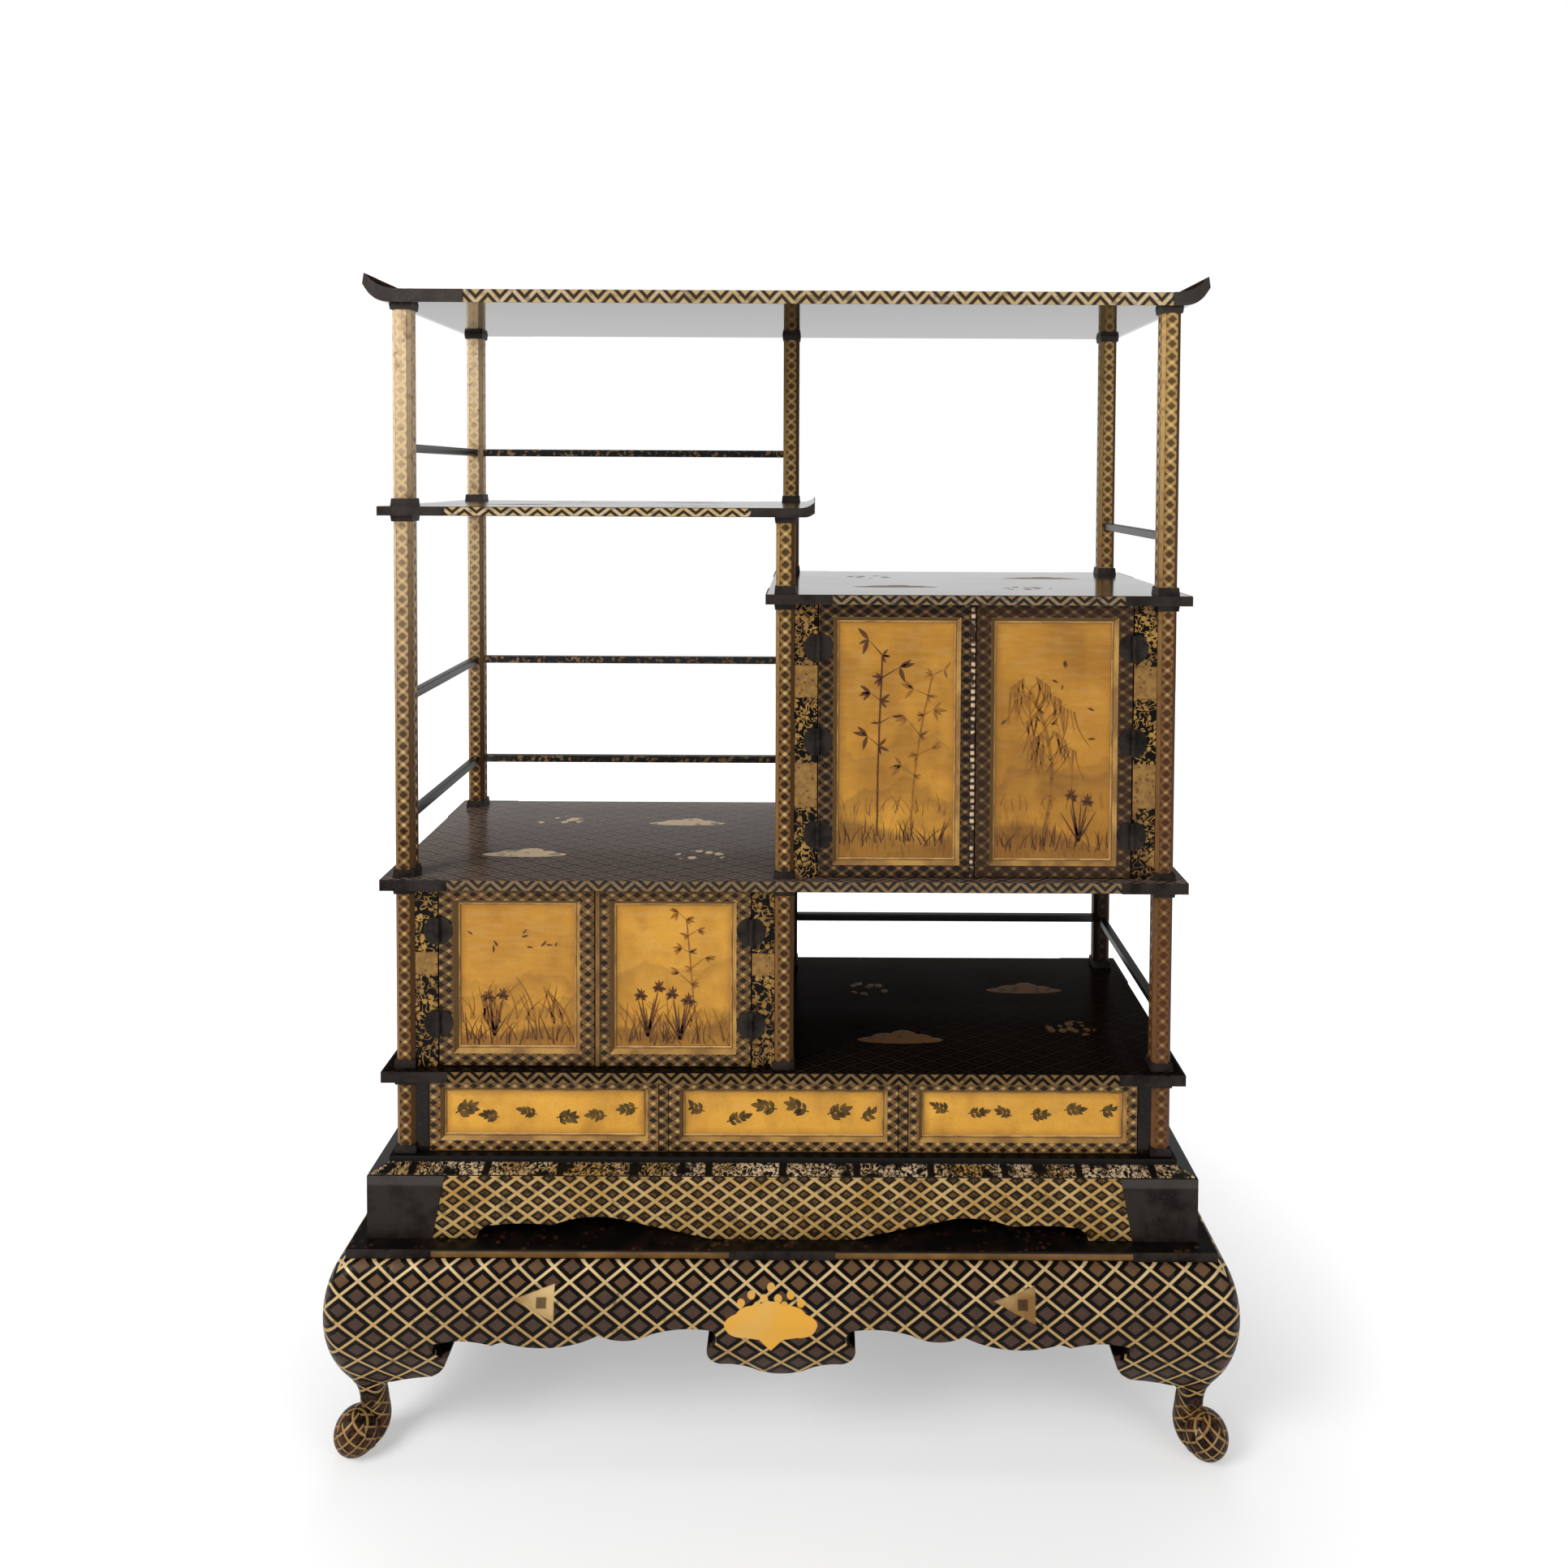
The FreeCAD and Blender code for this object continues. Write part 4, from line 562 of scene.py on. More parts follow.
def scroll_black():
    """Black lacquer with thin gold scrolling leaves and tan blocks between the hinges."""
    f, c = finish("scroll_black")
    vine = abs(f.noise(74, 1, distortion=1.5) - 0.5).below(0.034, 0.024)
    leaf = f.cells(110).below(0.36, 0.1) * f.noise(50, 2).below(0.6, 0.1)
    drawn = vine.most(leaf) * 0.95
    gold = f.mix(c.gold, (f.noise(18, 4).below(0.5, 0.25), c.tan))
    block = most_of(abs(f.z - (low + high) / 2).below((high - low) / 2, 2) for low, high in STILE_BLOCKS)
    face = f.mix(c.tan, (0.4, c.gold), (f.noise(130, 3).below(0.5, 0.16), c.tan),
                 (f.cells(140).below(0.24, 0.08) * 0.8, c.red_brown))
    front = abs(f.normal_y).over(0.8)
    painted = f.mix(c.black, (front, f.mix(c.black, (drawn, gold), (block * 0.9, face))))
    return f.shade(painted, 0.3 + drawn * 0.14, drawn, metallic=drawn * front * 0.3, specular=0.1,
                   relief=0.0003)


def shelf_lacquer(node, brightness, gloss, rough, rubbing_and_sheen, gilding, clouds, sprays):
    """Dark glossy board: faint lozenges and gold clouds on top, a gold zigzag along the edges."""
    f, c = finish(node + "_lacquer")
    p = f.patterns
    low, high = box_mm(node)
    thick = UPTURNED.get(node, high.z - low.z)
    pitch = p.shelf_pitch * 1000
    fine = f.lozenges(f.x / pitch, f.y / (pitch * 0.6))
    lattice = fine.below(0.06, 0.05).most(abs(fine - 0.3).below(0.03, 0.03))
    wear, scratch, flaked = f.noise(8, 5), f.noise(40, 4, (1, 9, 1)), f.noise(70, 4)
    top = f.normal_z.over(0.6)
    gilt = [f.cloud(middle, size).below(1, 0.12) for middle, size in clouds]
    gilt += [f.ellipse(f.x, f.y, middle, (34, 22)).below(1, 0.4) * f.cells(70).below(0.42, 0.1)
             for middle in sprays]
    gilt = most_of(gilt) * top
    # By one given share: brown rubbing and scratches, and on the tops a greyish black as a painted reflection
    # of the light surroundings
    ground = f.mix(c.black, (wear.below(0.5, 0.35) * rubbing_and_sheen, c.brown),
                   (rubbing_and_sheen * top * (1 - lattice), c.worn_black_and_sheen), (lattice * top * 0.05, c.tan),
                   (scratch.below(0.4, 0.1) * rubbing_and_sheen * 0.4, c.brown),
                   (gilt * (1 - flaked.below(0.4, 0.1) * 0.6), getattr(c, gilding)))
    edge = abs(f.normal_z).below(0.4, 0.1)
    zigzag = f.lozenges((f.along_face() - 10) / (p.edge_pitch * 1000), (f.z - low.z) / (2 * thick))
    line = zigzag.below(0.1, 0.07) * (1 - flaked.below(0.4, 0.08) * 0.5)
    heart = (0.5 - zigzag).below(0.2, 0.06)
    gold = f.mix(c.dim_gold, (brightness, f.mix(c.cream, (f.noise(26, 4).below(0.5, 0.2), c.pale_gold))))
    band = f.mix(c.black, (brightness * 0.2, c.dim_gold),
                 (heart, f.mix(c.dim_gold, (brightness * 0.8, c.pale_gold))), (line, gold))
    covered = (line * edge).most(gilt)
    painted = f.mix(ground, (edge, band))
    return f.shade(painted, rough + covered * 0.2 + wear * rough * 0.7, covered, metallic=covered * 0.3,
                   specular=gloss)


def plain_black():
    """Plain black lacquer with a breath of gold dust and rubbed brown."""
    f, c = finish("plain_black")
    wear = f.noise(7, 5)
    painted = f.mix(c.black, (wear.below(0.45, 0.25) * 0.5, c.brown),
                    (f.noise(700, 2).below(0.33, 0.03) * 0.3, c.tan))
    return f.shade(painted, 0.2 + wear * 0.12, f.noise(18, 3), relief=0.0003)


def rail_lacquer():
    """Black rails; the upper ones have small rubbed gold dashes along them."""
    f, c = finish("rail_lacquer")
    dash = f.noise(170, 3).below(0.43, 0.06) * abs(f.normal_y).over(0.8) * f.z.over(740)
    painted = f.mix(c.black, (dash * 0.8, c.tan))
    return f.shade(painted, 0.3 + dash * 0.1, dash, specular=0.5, relief=0.0001)


def chiselled_metal(name, lit_from=None):
    """Dark chiselled metal: a stippled ground with engraved scrolls, paler where it is rubbed; a painted
    highlight greys it towards the top, and painted light pales it above a given level.
    """
    f, c = finish(name)
    scroll = abs(f.noise(85, 1, distortion=1.4) - 0.5).below(0.03, 0.02)
    rub = f.noise(35, 4)
    # The last layer is a painted highlight that greys the metal towards the top
    painted = f.mix(c.rubbed_metal, (rub.below(0.46, 0.2), c.metal), (scroll * 0.4, c.rubbed_metal),
                    ((1 - f.z.below(1300, 500)) * 0.25, c.metal_highlight))
    # Painted light on the upper part, above the level lit_from in millimetres
    if lit_from is not None:
        painted = f.mix(painted, ((1 - f.z.below(lit_from, 3)) * 0.4, c.lit_metal))
    return f.shade(painted, 0.42 + rub * 0.15, f.cells(620) * 0.4 + scroll, metallic=0.3, specular=0.12,
                   relief=0.0004)


def mount_metal():
    """The metal that mounts, collars and hinges share."""
    return bpy.data.materials.get("mount_metal") or chiselled_metal("mount_metal")


def cornice_band():
    """Sloping cornice: pale sprigs in runs along the slope, black strip above."""
    f, c = finish("cornice_band")
    low, high = box_mm("plinth_cornice")
    sloped = f.normal_z.over(0.2) * f.normal_z.under(0.95)
    up = (f.z - low.z) / (high.z - low.z) * 18 - 6
    stems = abs(f.noise(120, 1, distortion=1.6) - 0.5).below(0.04, 0.025)
    sprig = f.cells(170).below(0.36, 0.1).most(stems)
    gap = f.along_face().to_nearest(97).below(5, 2)
    missing = f.noise(34, 3).below(0.4, 0.08)
    drawn = sprig * (1 - gap) * (1 - missing) * abs(up + 1).below(4.2, 1.5) * sloped
    pale = f.mix(c.cream, (f.noise(12, 4).below(0.5, 0.25), c.gold))
    painted = f.mix(c.black, (drawn * 0.85, pale))
    return f.shade(painted, 0.3 + drawn * 0.2, drawn, metallic=drawn * 0.2, relief=0.0003)


def stand_board_lacquer():
    """Stand's top board: gold line along the edge, dim red-brown sprays on the ledge."""
    f, c = finish("stand_board_lacquer")
    low, high = box_mm("stand_top_board")
    edge = abs(f.normal_z).below(0.5, 0.1)
    line = abs(f.z - (low.z + high.z) / 2 + 0.5).below(4.0, 0.8)
    worn = f.noise(25, 4)
    gold = f.mix(c.tan, (worn.below(0.5, 0.25), c.dim_gold))
    sprays = f.cells(90).below(0.26, 0.12) * f.noise(22, 2).below(0.5, 0.15)
    painted = f.mix(c.black, (worn.below(0.42, 0.2) * 0.3, c.brown), (sprays * 0.5, c.red_brown),
                    (edge, f.mix(c.black, (line, gold))))
    covered = line * edge
    return f.shade(painted, 0.3 + worn * 0.12, covered, metallic=covered * 0.3, relief=0.0003)


def panel_bead(name):
    """Moulding round a panel: cream and rubbed pale gold below and at the right as painted light, red-brown
    above and at the left as painted shade.
    """
    f, c = finish(name)
    worn = f.noise(45, 4)
    # Painted light on faces turned up and, less, on faces turned left; painted shade on faces turned down or
    # right
    painted_light = f.normal_z.over(0.25).most(f.normal_x.under(-0.25) * 0.4)
    painted_shade = (f.normal_z * -1).over(0.25).most(f.normal_x.over(0.25))
    painted = f.mix(c.gold, (worn.below(0.5, 0.25), c.tan),
                    (painted_light * 0.8, f.mix(c.cream, (worn.below(0.45, 0.2), c.pale_gold))),
                    (painted_shade * 0.8, c.red_brown))
    return f.shade(painted, 0.5 + worn * 0.1, worn)


def meeting_bead(name, dotted):
    """Bead along the doors' meeting line: brown with pale dots, or plain rubbed brown."""
    f, c = finish(name)
    worn = f.noise(45, 4)
    painted = f.mix(c.tan, (worn.below(0.5, 0.25), c.dim_gold))
    if dotted:
        dots = f.z.to_nearest(9).below(2.4, 1.6) * f.noise(70, 3).below(0.52, 0.1)
        painted = f.mix(c.brown, (dots * 0.8, c.cream))
    return f.shade(painted, 0.5 + worn * 0.1, worn)


def drawer_wood():
    """Plain dark lacquered wood inside the drawers, with a long grain."""
    f, c = finish("grained_wood")
    grain = f.noise(60, 5, (0.12, 0.12, 1))
    return f.shade(f.mix(c.brown, (grain.below(0.5, 0.2), c.red_brown)), 0.42 + grain * 0.12, grain)


def only(piece):
    bpy.ops.object.select_all(action="DESELECT")
    piece.select_set(True)
    bpy.context.view_layer.objects.active = piece


@contextlib.contextmanager
def editing(piece, action="SELECT"):
    """Edit mode on one piece, with everything or nothing in it selected."""
    only(piece)
    bpy.ops.object.mode_set(mode="EDIT")
    bpy.ops.mesh.select_all(action=action)
    yield
    bpy.ops.object.mode_set(mode="OBJECT")


def choose(piece, test):
    """Selects the corners of a piece, in edit mode, that pass a test."""
    bpy.ops.object.mode_set(mode="OBJECT")
    for corner in piece.data.vertices:
        corner.select = test(corner)
    bpy.ops.object.mode_set(mode="EDIT")


def apply_modifier(piece, kind, **settings):
    only(piece)
    modifier = piece.modifiers.new(kind.lower(), kind)
    for key, value in settings.items():
        setattr(modifier, key, value)
    bpy.ops.object.modifier_apply(modifier=modifier.name)


def rounded(piece, width, segments, sharper_than, smooth_to):
    """Rounds a piece's edges that are sharper than an angle and smooths its shading, both in degrees."""
    apply_modifier(piece, "BEVEL", width=width, segments=segments, limit_method="ANGLE",
                   angle_limit=math.radians(sharper_than))
    only(piece)
    bpy.ops.object.shade_smooth_by_angle(angle=math.radians(smooth_to))


def dress(piece, body, material, nodes=()):
    """Gives a finished piece its material and its body, and hides the CAD nodes that it stands for."""
    piece.data.materials.clear()
    piece.data.materials.append(material)
    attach(piece, body)
    if nodes:
        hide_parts(*nodes)
    return piece


def curl_tips(piece):
    """Draws the top board's upturned ends, and the metal on them, out into thin curling tips."""
    low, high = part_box("top_board")
    lowest = low.z - 0.001
    long, short, spacing = 0.064, 0.043, 0.004
    start, end = high.x - 0.066, high.x - short
    for step in range(17):
        for side in (-1, 1):
            with editing(piece, "DESELECT"):
                choose(piece, lambda corner: corner.co.z > lowest)
                bpy.ops.mesh.bisect(plane_co=(side * (start + spacing * step), 0, 0), plane_no=(1, 0, 0))
    reaches = {round(abs(corner.co.x), 5) for corner in piece.data.vertices if corner.co.z > lowest}
    for reach in sorted(reaches):
        above, below = max(0, reach - start) / long, max(0, reach - end) / short
        middle = low.z + 0.0085 + 0.017 * above ** 2
        # The upper and the lower face each bend down and then curl up
        for top, rise in ((True, 0.0195 * above ** 4 - 0.021 * above ** 2),
                          (False, 0.0215 * below ** 3.5 - 0.0126 * below ** 2)):
            with editing(piece, "DESELECT"):
                choose(piece, lambda corner: corner.co.z > lowest and abs(abs(corner.co.x) - reach) < 0.00001
                       and (corner.co.z > middle) == top)
                bpy.ops.transform.translate(value=(0, 0, rise))


def eased(node, material, width=0.0006, sharper_than=30, segments=2, curved=False, shape=None):
    """A copy of a CAD node with whole flats, its own shaping and softened edges, in the node's place."""
    source = frame["nodes"][node]
    piece = source.copy()
    piece.data = source.data.copy()
    piece.name = node + "_eased"
    piece.parent = None
    for key in list(piece.keys()):
        del piece[key]
    bpy.context.scene.collection.objects.link(piece)
    only(piece)
    bpy.ops.mesh.customdata_custom_splitnormals_clear()
    with editing(piece):
        bpy.ops.mesh.remove_doubles(threshold=0.00001)
        bpy.ops.mesh.dissolve_limited(angle_limit=math.radians(0.5))
    if shape:
        shape(piece)
    rounded(piece, width, segments, sharper_than, smooth_to=35)
    if not curved:
        apply_modifier(piece, "WEIGHTED_NORMAL", keep_sharp=True)
    return dress(piece, BODY_OF[node], material, [node])


def upright_plane(name, low, high, face):
    """A flat piece between two corners, standing at a depth and facing the front."""
    bpy.ops.object.select_all(action="DESELECT")
    middle = ((low.x + high.x) / 2, face, (low.z + high.z) / 2)
    bpy.ops.mesh.primitive_plane_add(size=1, location=middle, rotation=(math.pi / 2, 0, 0))
    piece = bpy.context.object
    piece.name = name
    bpy.ops.transform.resize(value=(high.x - low.x, 1, high.z - low.z))
    bpy.ops.object.transform_apply()
    return piece


def draw_forward(depth):
    bpy.ops.mesh.extrude_region_move(TRANSFORM_OT_translate={"value": (0, -depth, 0)})


def bead_round(node, material):
    """A thin bead on a panel, along its frame."""
    low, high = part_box(node)
    piece = upright_plane(node + "_bead", low, high, low.y)
    with editing(piece):
        bpy.ops.mesh.inset(thickness=0.0028)
        bpy.ops.mesh.delete(type="FACE")
        bpy.ops.mesh.select_all(action="SELECT")
        draw_forward(0.0016)
    rounded(piece, width=0.0007, segments=3, sharper_than=40, smooth_to=50)
    return dress(piece, BODY_OF[node], material)


def meeting_strip(door, left, right, material):
    """A half-round strip on a door's frame, along the line where the two doors meet."""
    low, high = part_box(f"{door}_door_frame")
    foot, top = Vector((left, 0, low.z)), Vector((right, 0, high.z))
    piece = upright_plane(f"{door}_meeting_strip", foot, top, low.y)
    with editing(piece):
        draw_forward(0.0026)
    rounded(piece, width=0.002, segments=4, sharper_than=40, smooth_to=50)
    return dress(piece, BODY_OF[f"{door}_door_frame"], material)


def stroke(name, rows):
    """A brushstroke 1 m tall, to be copied smaller: middle, height and half width of each of its rows."""
    bpy.ops.object.select_all(action="DESELECT")
    steps = len(rows) - 1
    bpy.ops.mesh.primitive_grid_add(x_subdivisions=2, y_subdivisions=steps, size=1,
                                    rotation=(math.pi / 2, 0, 0))
    piece = bpy.context.object
    piece.name = name
    bpy.ops.object.transform_apply()
    row_of = [round((corner.co.z + 0.5) * steps) for corner in piece.data.vertices]
    for number, (middle, height, half) in enumerate(rows):
        with editing(piece, "DESELECT"):
            choose(piece, lambda corner: row_of[corner.index] == number)
            bpy.ops.transform.resize(value=(2 * half, 1, 1))
            bpy.ops.transform.translate(value=(middle, 0, height + 0.5 - number / steps))
    with editing(piece):
        draw_forward(0.0004)
    return piece


def make_strokes():
    """The few brushstrokes that every painted plant is put together from."""
    swell = (0.01, 0.6, 0.95, 1.0, 0.8, 0.5, 0.02)
    taper = (1.0, 0.95, 0.85, 0.7, 0.55, 0.35, 0.03)
    sixths = [number / 6 for number in range(7)]
    rows = {"joint": [(0, 0, 0.055), (0, 0.06, 0.042), (0, 0.5, 0.036), (0, 0.92, 0.042), (0, 0.97, 0.055)]}
    for name, bow, wide in (("leaf", 0.03, 0.14), ("petal", 0.06, 0.25)):
        rows[name] = [(bow * math.sin(3 * z), z, wide * half) for z, half in zip(sixths, swell)]
    for name, bend, wide in (("blade", 0, 0.03), ("left_blade", -0.35, 0.026), ("right_blade", 0.35, 0.026)):
        rows[name] = [(bend * z * z, z, wide * half) for z, half in zip(sixths, taper)]
    return {name: stroke(name + "_stroke", each) for name, each in rows.items()}


def remove(strokes):
    for piece in strokes.values():
        bpy.data.objects.remove(piece)


def ahead(x, z, turn, size):
    """The far end of a stroke."""
    return x + size * math.sin(turn), z + size * math.cos(turn)


class Painting:
    """Brushstrokes on one panel; each is a kind, a place across and up in mm, a turn and a size in mm."""

    def __init__(self, node, seed):
        self.node = node
        low, high = box_mm(node)
        self.left, self.right, self.foot, self.top = low.x, high.x, low.z, high.z
        self.random = random.Random(seed)
        self.between = self.random.uniform
        self.marks = []

    def level(self, up):
        return self.foot + (self.top - self.foot) * up

    def spot(self, across, up):
        """A place in millimetres from shares of the panel's width and height."""
        return self.left + (self.right - self.left) * across, self.level(up)

    def within(self, x, z, side_rim, foot_rim, top_rim=5):
        across = self.left + side_rim < x < self.right - side_rim
        return across and self.foot + foot_rim < z < self.top - top_rim

    def add(self, kind, x, z, turn, size):
        """Keeps a stroke if both of its ends lie inside the panel's rim."""
        tip = ahead(x, z, turn, size)
        if self.within(x, z, side_rim=4, foot_rim=3) and self.within(*tip, side_rim=5, foot_rim=5):
            self.marks.append((kind, x, z, turn, size))

    def any_blade(self):
        return self.random.choice(("left_blade", "right_blade", "blade"))

    def grass(self, start, end, rise, count, sizes):
        for _ in range(count):
            kind = self.any_blade()
            x, z = self.spot(self.between(start, end), rise)
            self.add(kind, x, z + self.between(-5, 5), self.between(-0.45, 0.45), self.between(*sizes))

    def bamboo(self, share, height, lean, piece):
        """A jointed cane from the ground with drooping leaves at its upper joints."""
        x, z = self.spot(share, 0.1)
        turn = lean
        way = 1
        while z < self.level(height):
            self.add("joint", x, z, turn, piece)
            x, z = ahead(x, z, turn, piece)
            turn += self.between(-0.03, 0.05)
            if z > self.level(height - 0.4):
                way = -way
                reach = piece * self.between(0.5, 1.1)
                rise = self.between(0.7, 1.2)
                self.add("blade", x, z, way * rise, reach)
                self.fan(*ahead(x, z, way * rise, reach), way, piece * 0.6)
                self.fan(x, z, -way, piece * 0.45)

    def fan(self, x, z, way, size):
        """Drooping leaves from one twig's end."""
        for spread in (0.8, 1.4, 2.0, 2.6):
            if self.random.random() < 0.8:
                self.add("leaf", x, z, way * (spread + self.between(-0.3, 0.3)),
                         size * self.between(0.7, 1.2))

    def willow(self, share, height):
        """A leaning trunk with long hanging twigs."""
        x, z = self.spot(share, 0.12)
        turn = 0.25
        while z < self.level(height):
            self.add("joint", x, z, turn, 26)
            self.add("joint", x + 2.2, z + 1, turn, 24)
            x, z = ahead(x, z, turn, 24)
            turn -= 0.1
            if z > self.level(0.4):
                for way, branch in ((-1, "left_blade"), (1, "right_blade")):
                    reach = self.between(18, 40)
                    self.add(branch, x, z, way * 0.5, reach)
                    for step in range(7):
                        out = way * reach * (0.35 + 0.11 * step)
                        self.add(self.any_blade(), x + out, z + reach * 0.75 - step * 2,
                                 math.pi + self.between(-0.25, 0.25), self.between(24, 52))

    def iris(self, share, rise):
        """A fan of sword leaves with two flowers of seven petals over it."""
        x, z = self.spot(share, rise)
        for turn in (-0.5, -0.28, -0.1, 0.12, 0.3, 0.52):
            self.add("blade", x, z, turn + self.between(-0.06, 0.06), self.between(34, 56))
        for turn in (-0.15, 0.22):
            stem = self.between(52, 70)
            self.add("blade", x, z, turn, stem)
            flower = ahead(x, z, turn, stem)
            for kind, petals in (("petal", (-2.4, -1.7, 1.8, 2.5)), ("leaf", (-0.6, 0, 0.6))):
                for petal in petals:
                    self.add(kind, *flower, petal, self.between(8, 11))

    def drifting(self, count, low, high):
        """Leaves on the wind."""
        for _ in range(count):
            x, z = self.spot(self.between(0.1, 0.9), self.between(low, high))
            self.add("leaf", x, z, self.between(-3, 3), self.between(6, 11))

    def sprigs(self, count):
        """A loose row of leafy sprigs along a drawer."""
        leaves = ((0.15, -0.8), (0.2, 0.9), (0.4, -0.9), (0.48, 0.8), (0.68, -0.6), (0.75, 0.7), (0.9, 0))
        for number in range(count):
            x, z = self.spot((number + 0.5 + self.between(-0.12, 0.12)) / count, self.between(0.36, 0.62))
            turn = self.random.choice((-1, 1)) * self.between(1.1, 1.7)
            size = self.between(17, 26)
            self.add("blade", *ahead(x, z, turn, -size / 2), turn, size)
            for step, spread in leaves:
                self.add("petal", *ahead(x, z, turn, size * (step - 0.5)), turn + spread,
                         size * self.between(0.4, 0.62))

    def paint(self, name, strokes, material):
        """Joins the strokes into one raised piece on the panel."""
        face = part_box(self.node)[0].y
        bpy.ops.object.select_all(action="DESELECT")
        for kind, x, z, turn, size in self.marks:
            mark = strokes[kind].copy()
            mark.data = strokes[kind].data.copy()
            mark.location = (x / 1000, face, z / 1000)
            mark.rotation_euler = (0, turn, 0)
            mark.scale = (size / 1000, 1, size / 1000)
            bpy.context.scene.collection.objects.link(mark)
            mark.select_set(True)
            bpy.context.view_layer.objects.active = mark
        bpy.ops.object.join()
        bpy.ops.object.transform_apply()
        piece = bpy.context.object
        piece.name = name
        self.marks = []
        return dress(piece, BODY_OF[self.node], material)


class StandOperator(bpy.types.Operator):
    """Dresses the swelling stand: legs, aprons, top board and metal mounts"""

    bl_idname = "cabinet.stand"
    bl_label = "Stand"

    def execute(self, context):
        legs = stand_trellis("leg_trellis")
        for corner in POSTS[:4]:
            eased(f"stand_{corner}_leg", legs, width=0.0004, sharper_than=50, curved=True)
        long_aprons = stand_trellis("long_apron_trellis", "normal_y")
        side_aprons = stand_trellis("side_apron_trellis", "normal_x")
        for node, trellis in (("stand_front_apron", long_aprons), ("stand_back_apron", long_aprons),
                              ("stand_side_aprons", side_aprons)):
            eased(node, trellis, width=0.0015, sharper_than=40, segments=3, curved=True)
        eased("stand_top_board", stand_board_lacquer(), width=0.001)
        eased("stand_mounts", mount_metal(), FINE_EDGE)
        return {"FINISHED"}


class PlinthOperator(bpy.types.Operator):
    """Dresses the plinth boards, their metal corners and the cornice"""

    bl_idname = "cabinet.plinth"
    bl_label = "Plinth"

    def execute(self, context):
        trellis = plinth_trellis()
        for node in ("plinth_front_board", "plinth_back_board", "plinth_side_boards"):
            eased(node, trellis, width=0.0008)
        eased("plinth_cornice", cornice_band(), sharper_than=20)
        # The plinth's metal corners take painted light along their top edge, above 345 mm
        eased("plinth_mounts", chiselled_metal("plinth_metal", lit_from=345), FINE_EDGE)
        return {"FINISHED"}


class CaseOperator(bpy.types.Operator):
    """Dresses the linings, panels and dividers of the drawer tier and the cupboards' panels"""

    bl_idname = "cabinet.case"
    bl_label = "Case"

    def execute(self, context):
        lacquer = plain_black()
        for node in ("case_linings", "case_side_panels", "case_back", "lower_cupboard_panels",
                     "upper_cupboard_panels"):
            eased(node, lacquer, PANEL_EDGE)
        net = net_frame("divider_net", brightness=0.8, browner=0.1, mesh_size=0.3, moulded=False)
        eased("drawer_dividers", net, PANEL_EDGE)
        return {"FINISHED"}


class FrameOperator(bpy.types.Operator):
    """Dresses the posts, their metal collars and the rails"""

    bl_idname = "cabinet.posts"
    bl_label = "Posts and rails"

    def execute(self, context):
        chain = post_chain()
        for post in POSTS:
            eased(post + "_post", chain, width=0.0004)
        rail = rail_lacquer()
        eased("back_rails", rail, BOARD_EDGE, segments=3)
        eased("side_rails", rail, BOARD_EDGE, segments=3)
        eased("post_collars", mount_metal(), PANEL_EDGE)
        return {"FINISHED"}


class BoardsOperator(bpy.types.Operator):
    """Dresses the five boards and their metal mounts"""

    bl_idname = "cabinet.boards"
    bl_label = "Boards"

    def execute(self, context):
        for node, looks in BOARDS.items():
            shape = curl_tips if node == "top_board" else None
            eased(node, shelf_lacquer(node, *looks), BOARD_EDGE, segments=3, shape=shape)
        eased("board_mounts", mount_metal(), FINE_EDGE, shape=curl_tips)
        return {"FINISHED"}


class DrawersOperator(bpy.types.Operator):
    """Dresses the three drawers"""

    bl_idname = "cabinet.drawers"
    bl_label = "Drawers"

    def execute(self, context):
        c = context.scene.cabinet_colours
        net = net_frame("drawer_net", brightness=1.0, browner=0.1, mesh_size=0.26)
        wood = drawer_wood()
        bead = panel_bead("drawer_bead")
        ink = painted_ink("sprig_ink", c.sprig_ink, c.sprig_light)
        strokes = make_strokes()
        for seed, name in enumerate(DRAWERS):
            eased(f"{name}_drawer_front", net, PANEL_EDGE)
            eased(f"{name}_drawer_panel", gold_ground(f"{name}_drawer"), FINE_EDGE)
            eased(f"{name}_drawer_box", wood)
            bead_round(f"{name}_drawer_panel", bead)
            painting = Painting(f"{name}_drawer_panel", seed)
            painting.sprigs(count=6)
            painting.paint(f"{name}_drawer_sprigs", strokes, ink)
        remove(strokes)
        return {"FINISHED"}


class DoorsOperator(bpy.types.Operator):
    """Dresses the stiles and the four doors"""

    bl_idname = "cabinet.doors"
    bl_label = "Doors"

    def execute(self, context):
        scroll = scroll_black()
        eased("lower_cupboard_stiles", scroll, PANEL_EDGE)
        eased("upper_cupboard_stiles", scroll, PANEL_EDGE)
        bead = panel_bead("door_bead")
        for door, (*net_looks, hills, tone) in DOORS.items():
            eased(f"{door}_door_frame", net_frame(f"{door}_net", *net_looks), PANEL_EDGE)
            eased(f"{door}_door_panel", gold_ground(f"{door}_door", hills, tone), FINE_EDGE)
            bead_round(f"{door}_door_panel", bead)
        dotted, plain = meeting_bead("dotted_strip", dotted=True), meeting_bead("plain_strip", dotted=False)
        meeting_strip("upper_left", left=0.2435, right=0.249, material=dotted)
        meeting_strip("lower_right", left=-0.249, right=-0.243, material=plain)
        self.paint_plants(context.scene.cabinet_colours)
        return {"FINISHED"}

    def paint_plants(self, c):
        inks = {"near": painted_ink("dark_strokes", c.ink, c.red_brown),
                "far": painted_ink("soft_strokes", c.soft_ink, c.deep_gold)}
        strokes = make_strokes()
        for door, (seed, far, near) in PLANTS.items():
            painting = Painting(f"{door}_door_panel", seed)
            for depth, plants in (("far", far), ("near", near)):
                for kind, *values in plants:
                    getattr(painting, kind)(*values)
                painting.paint(f"{door}_door_{depth}_plants", strokes, inks[depth])
        remove(strokes)


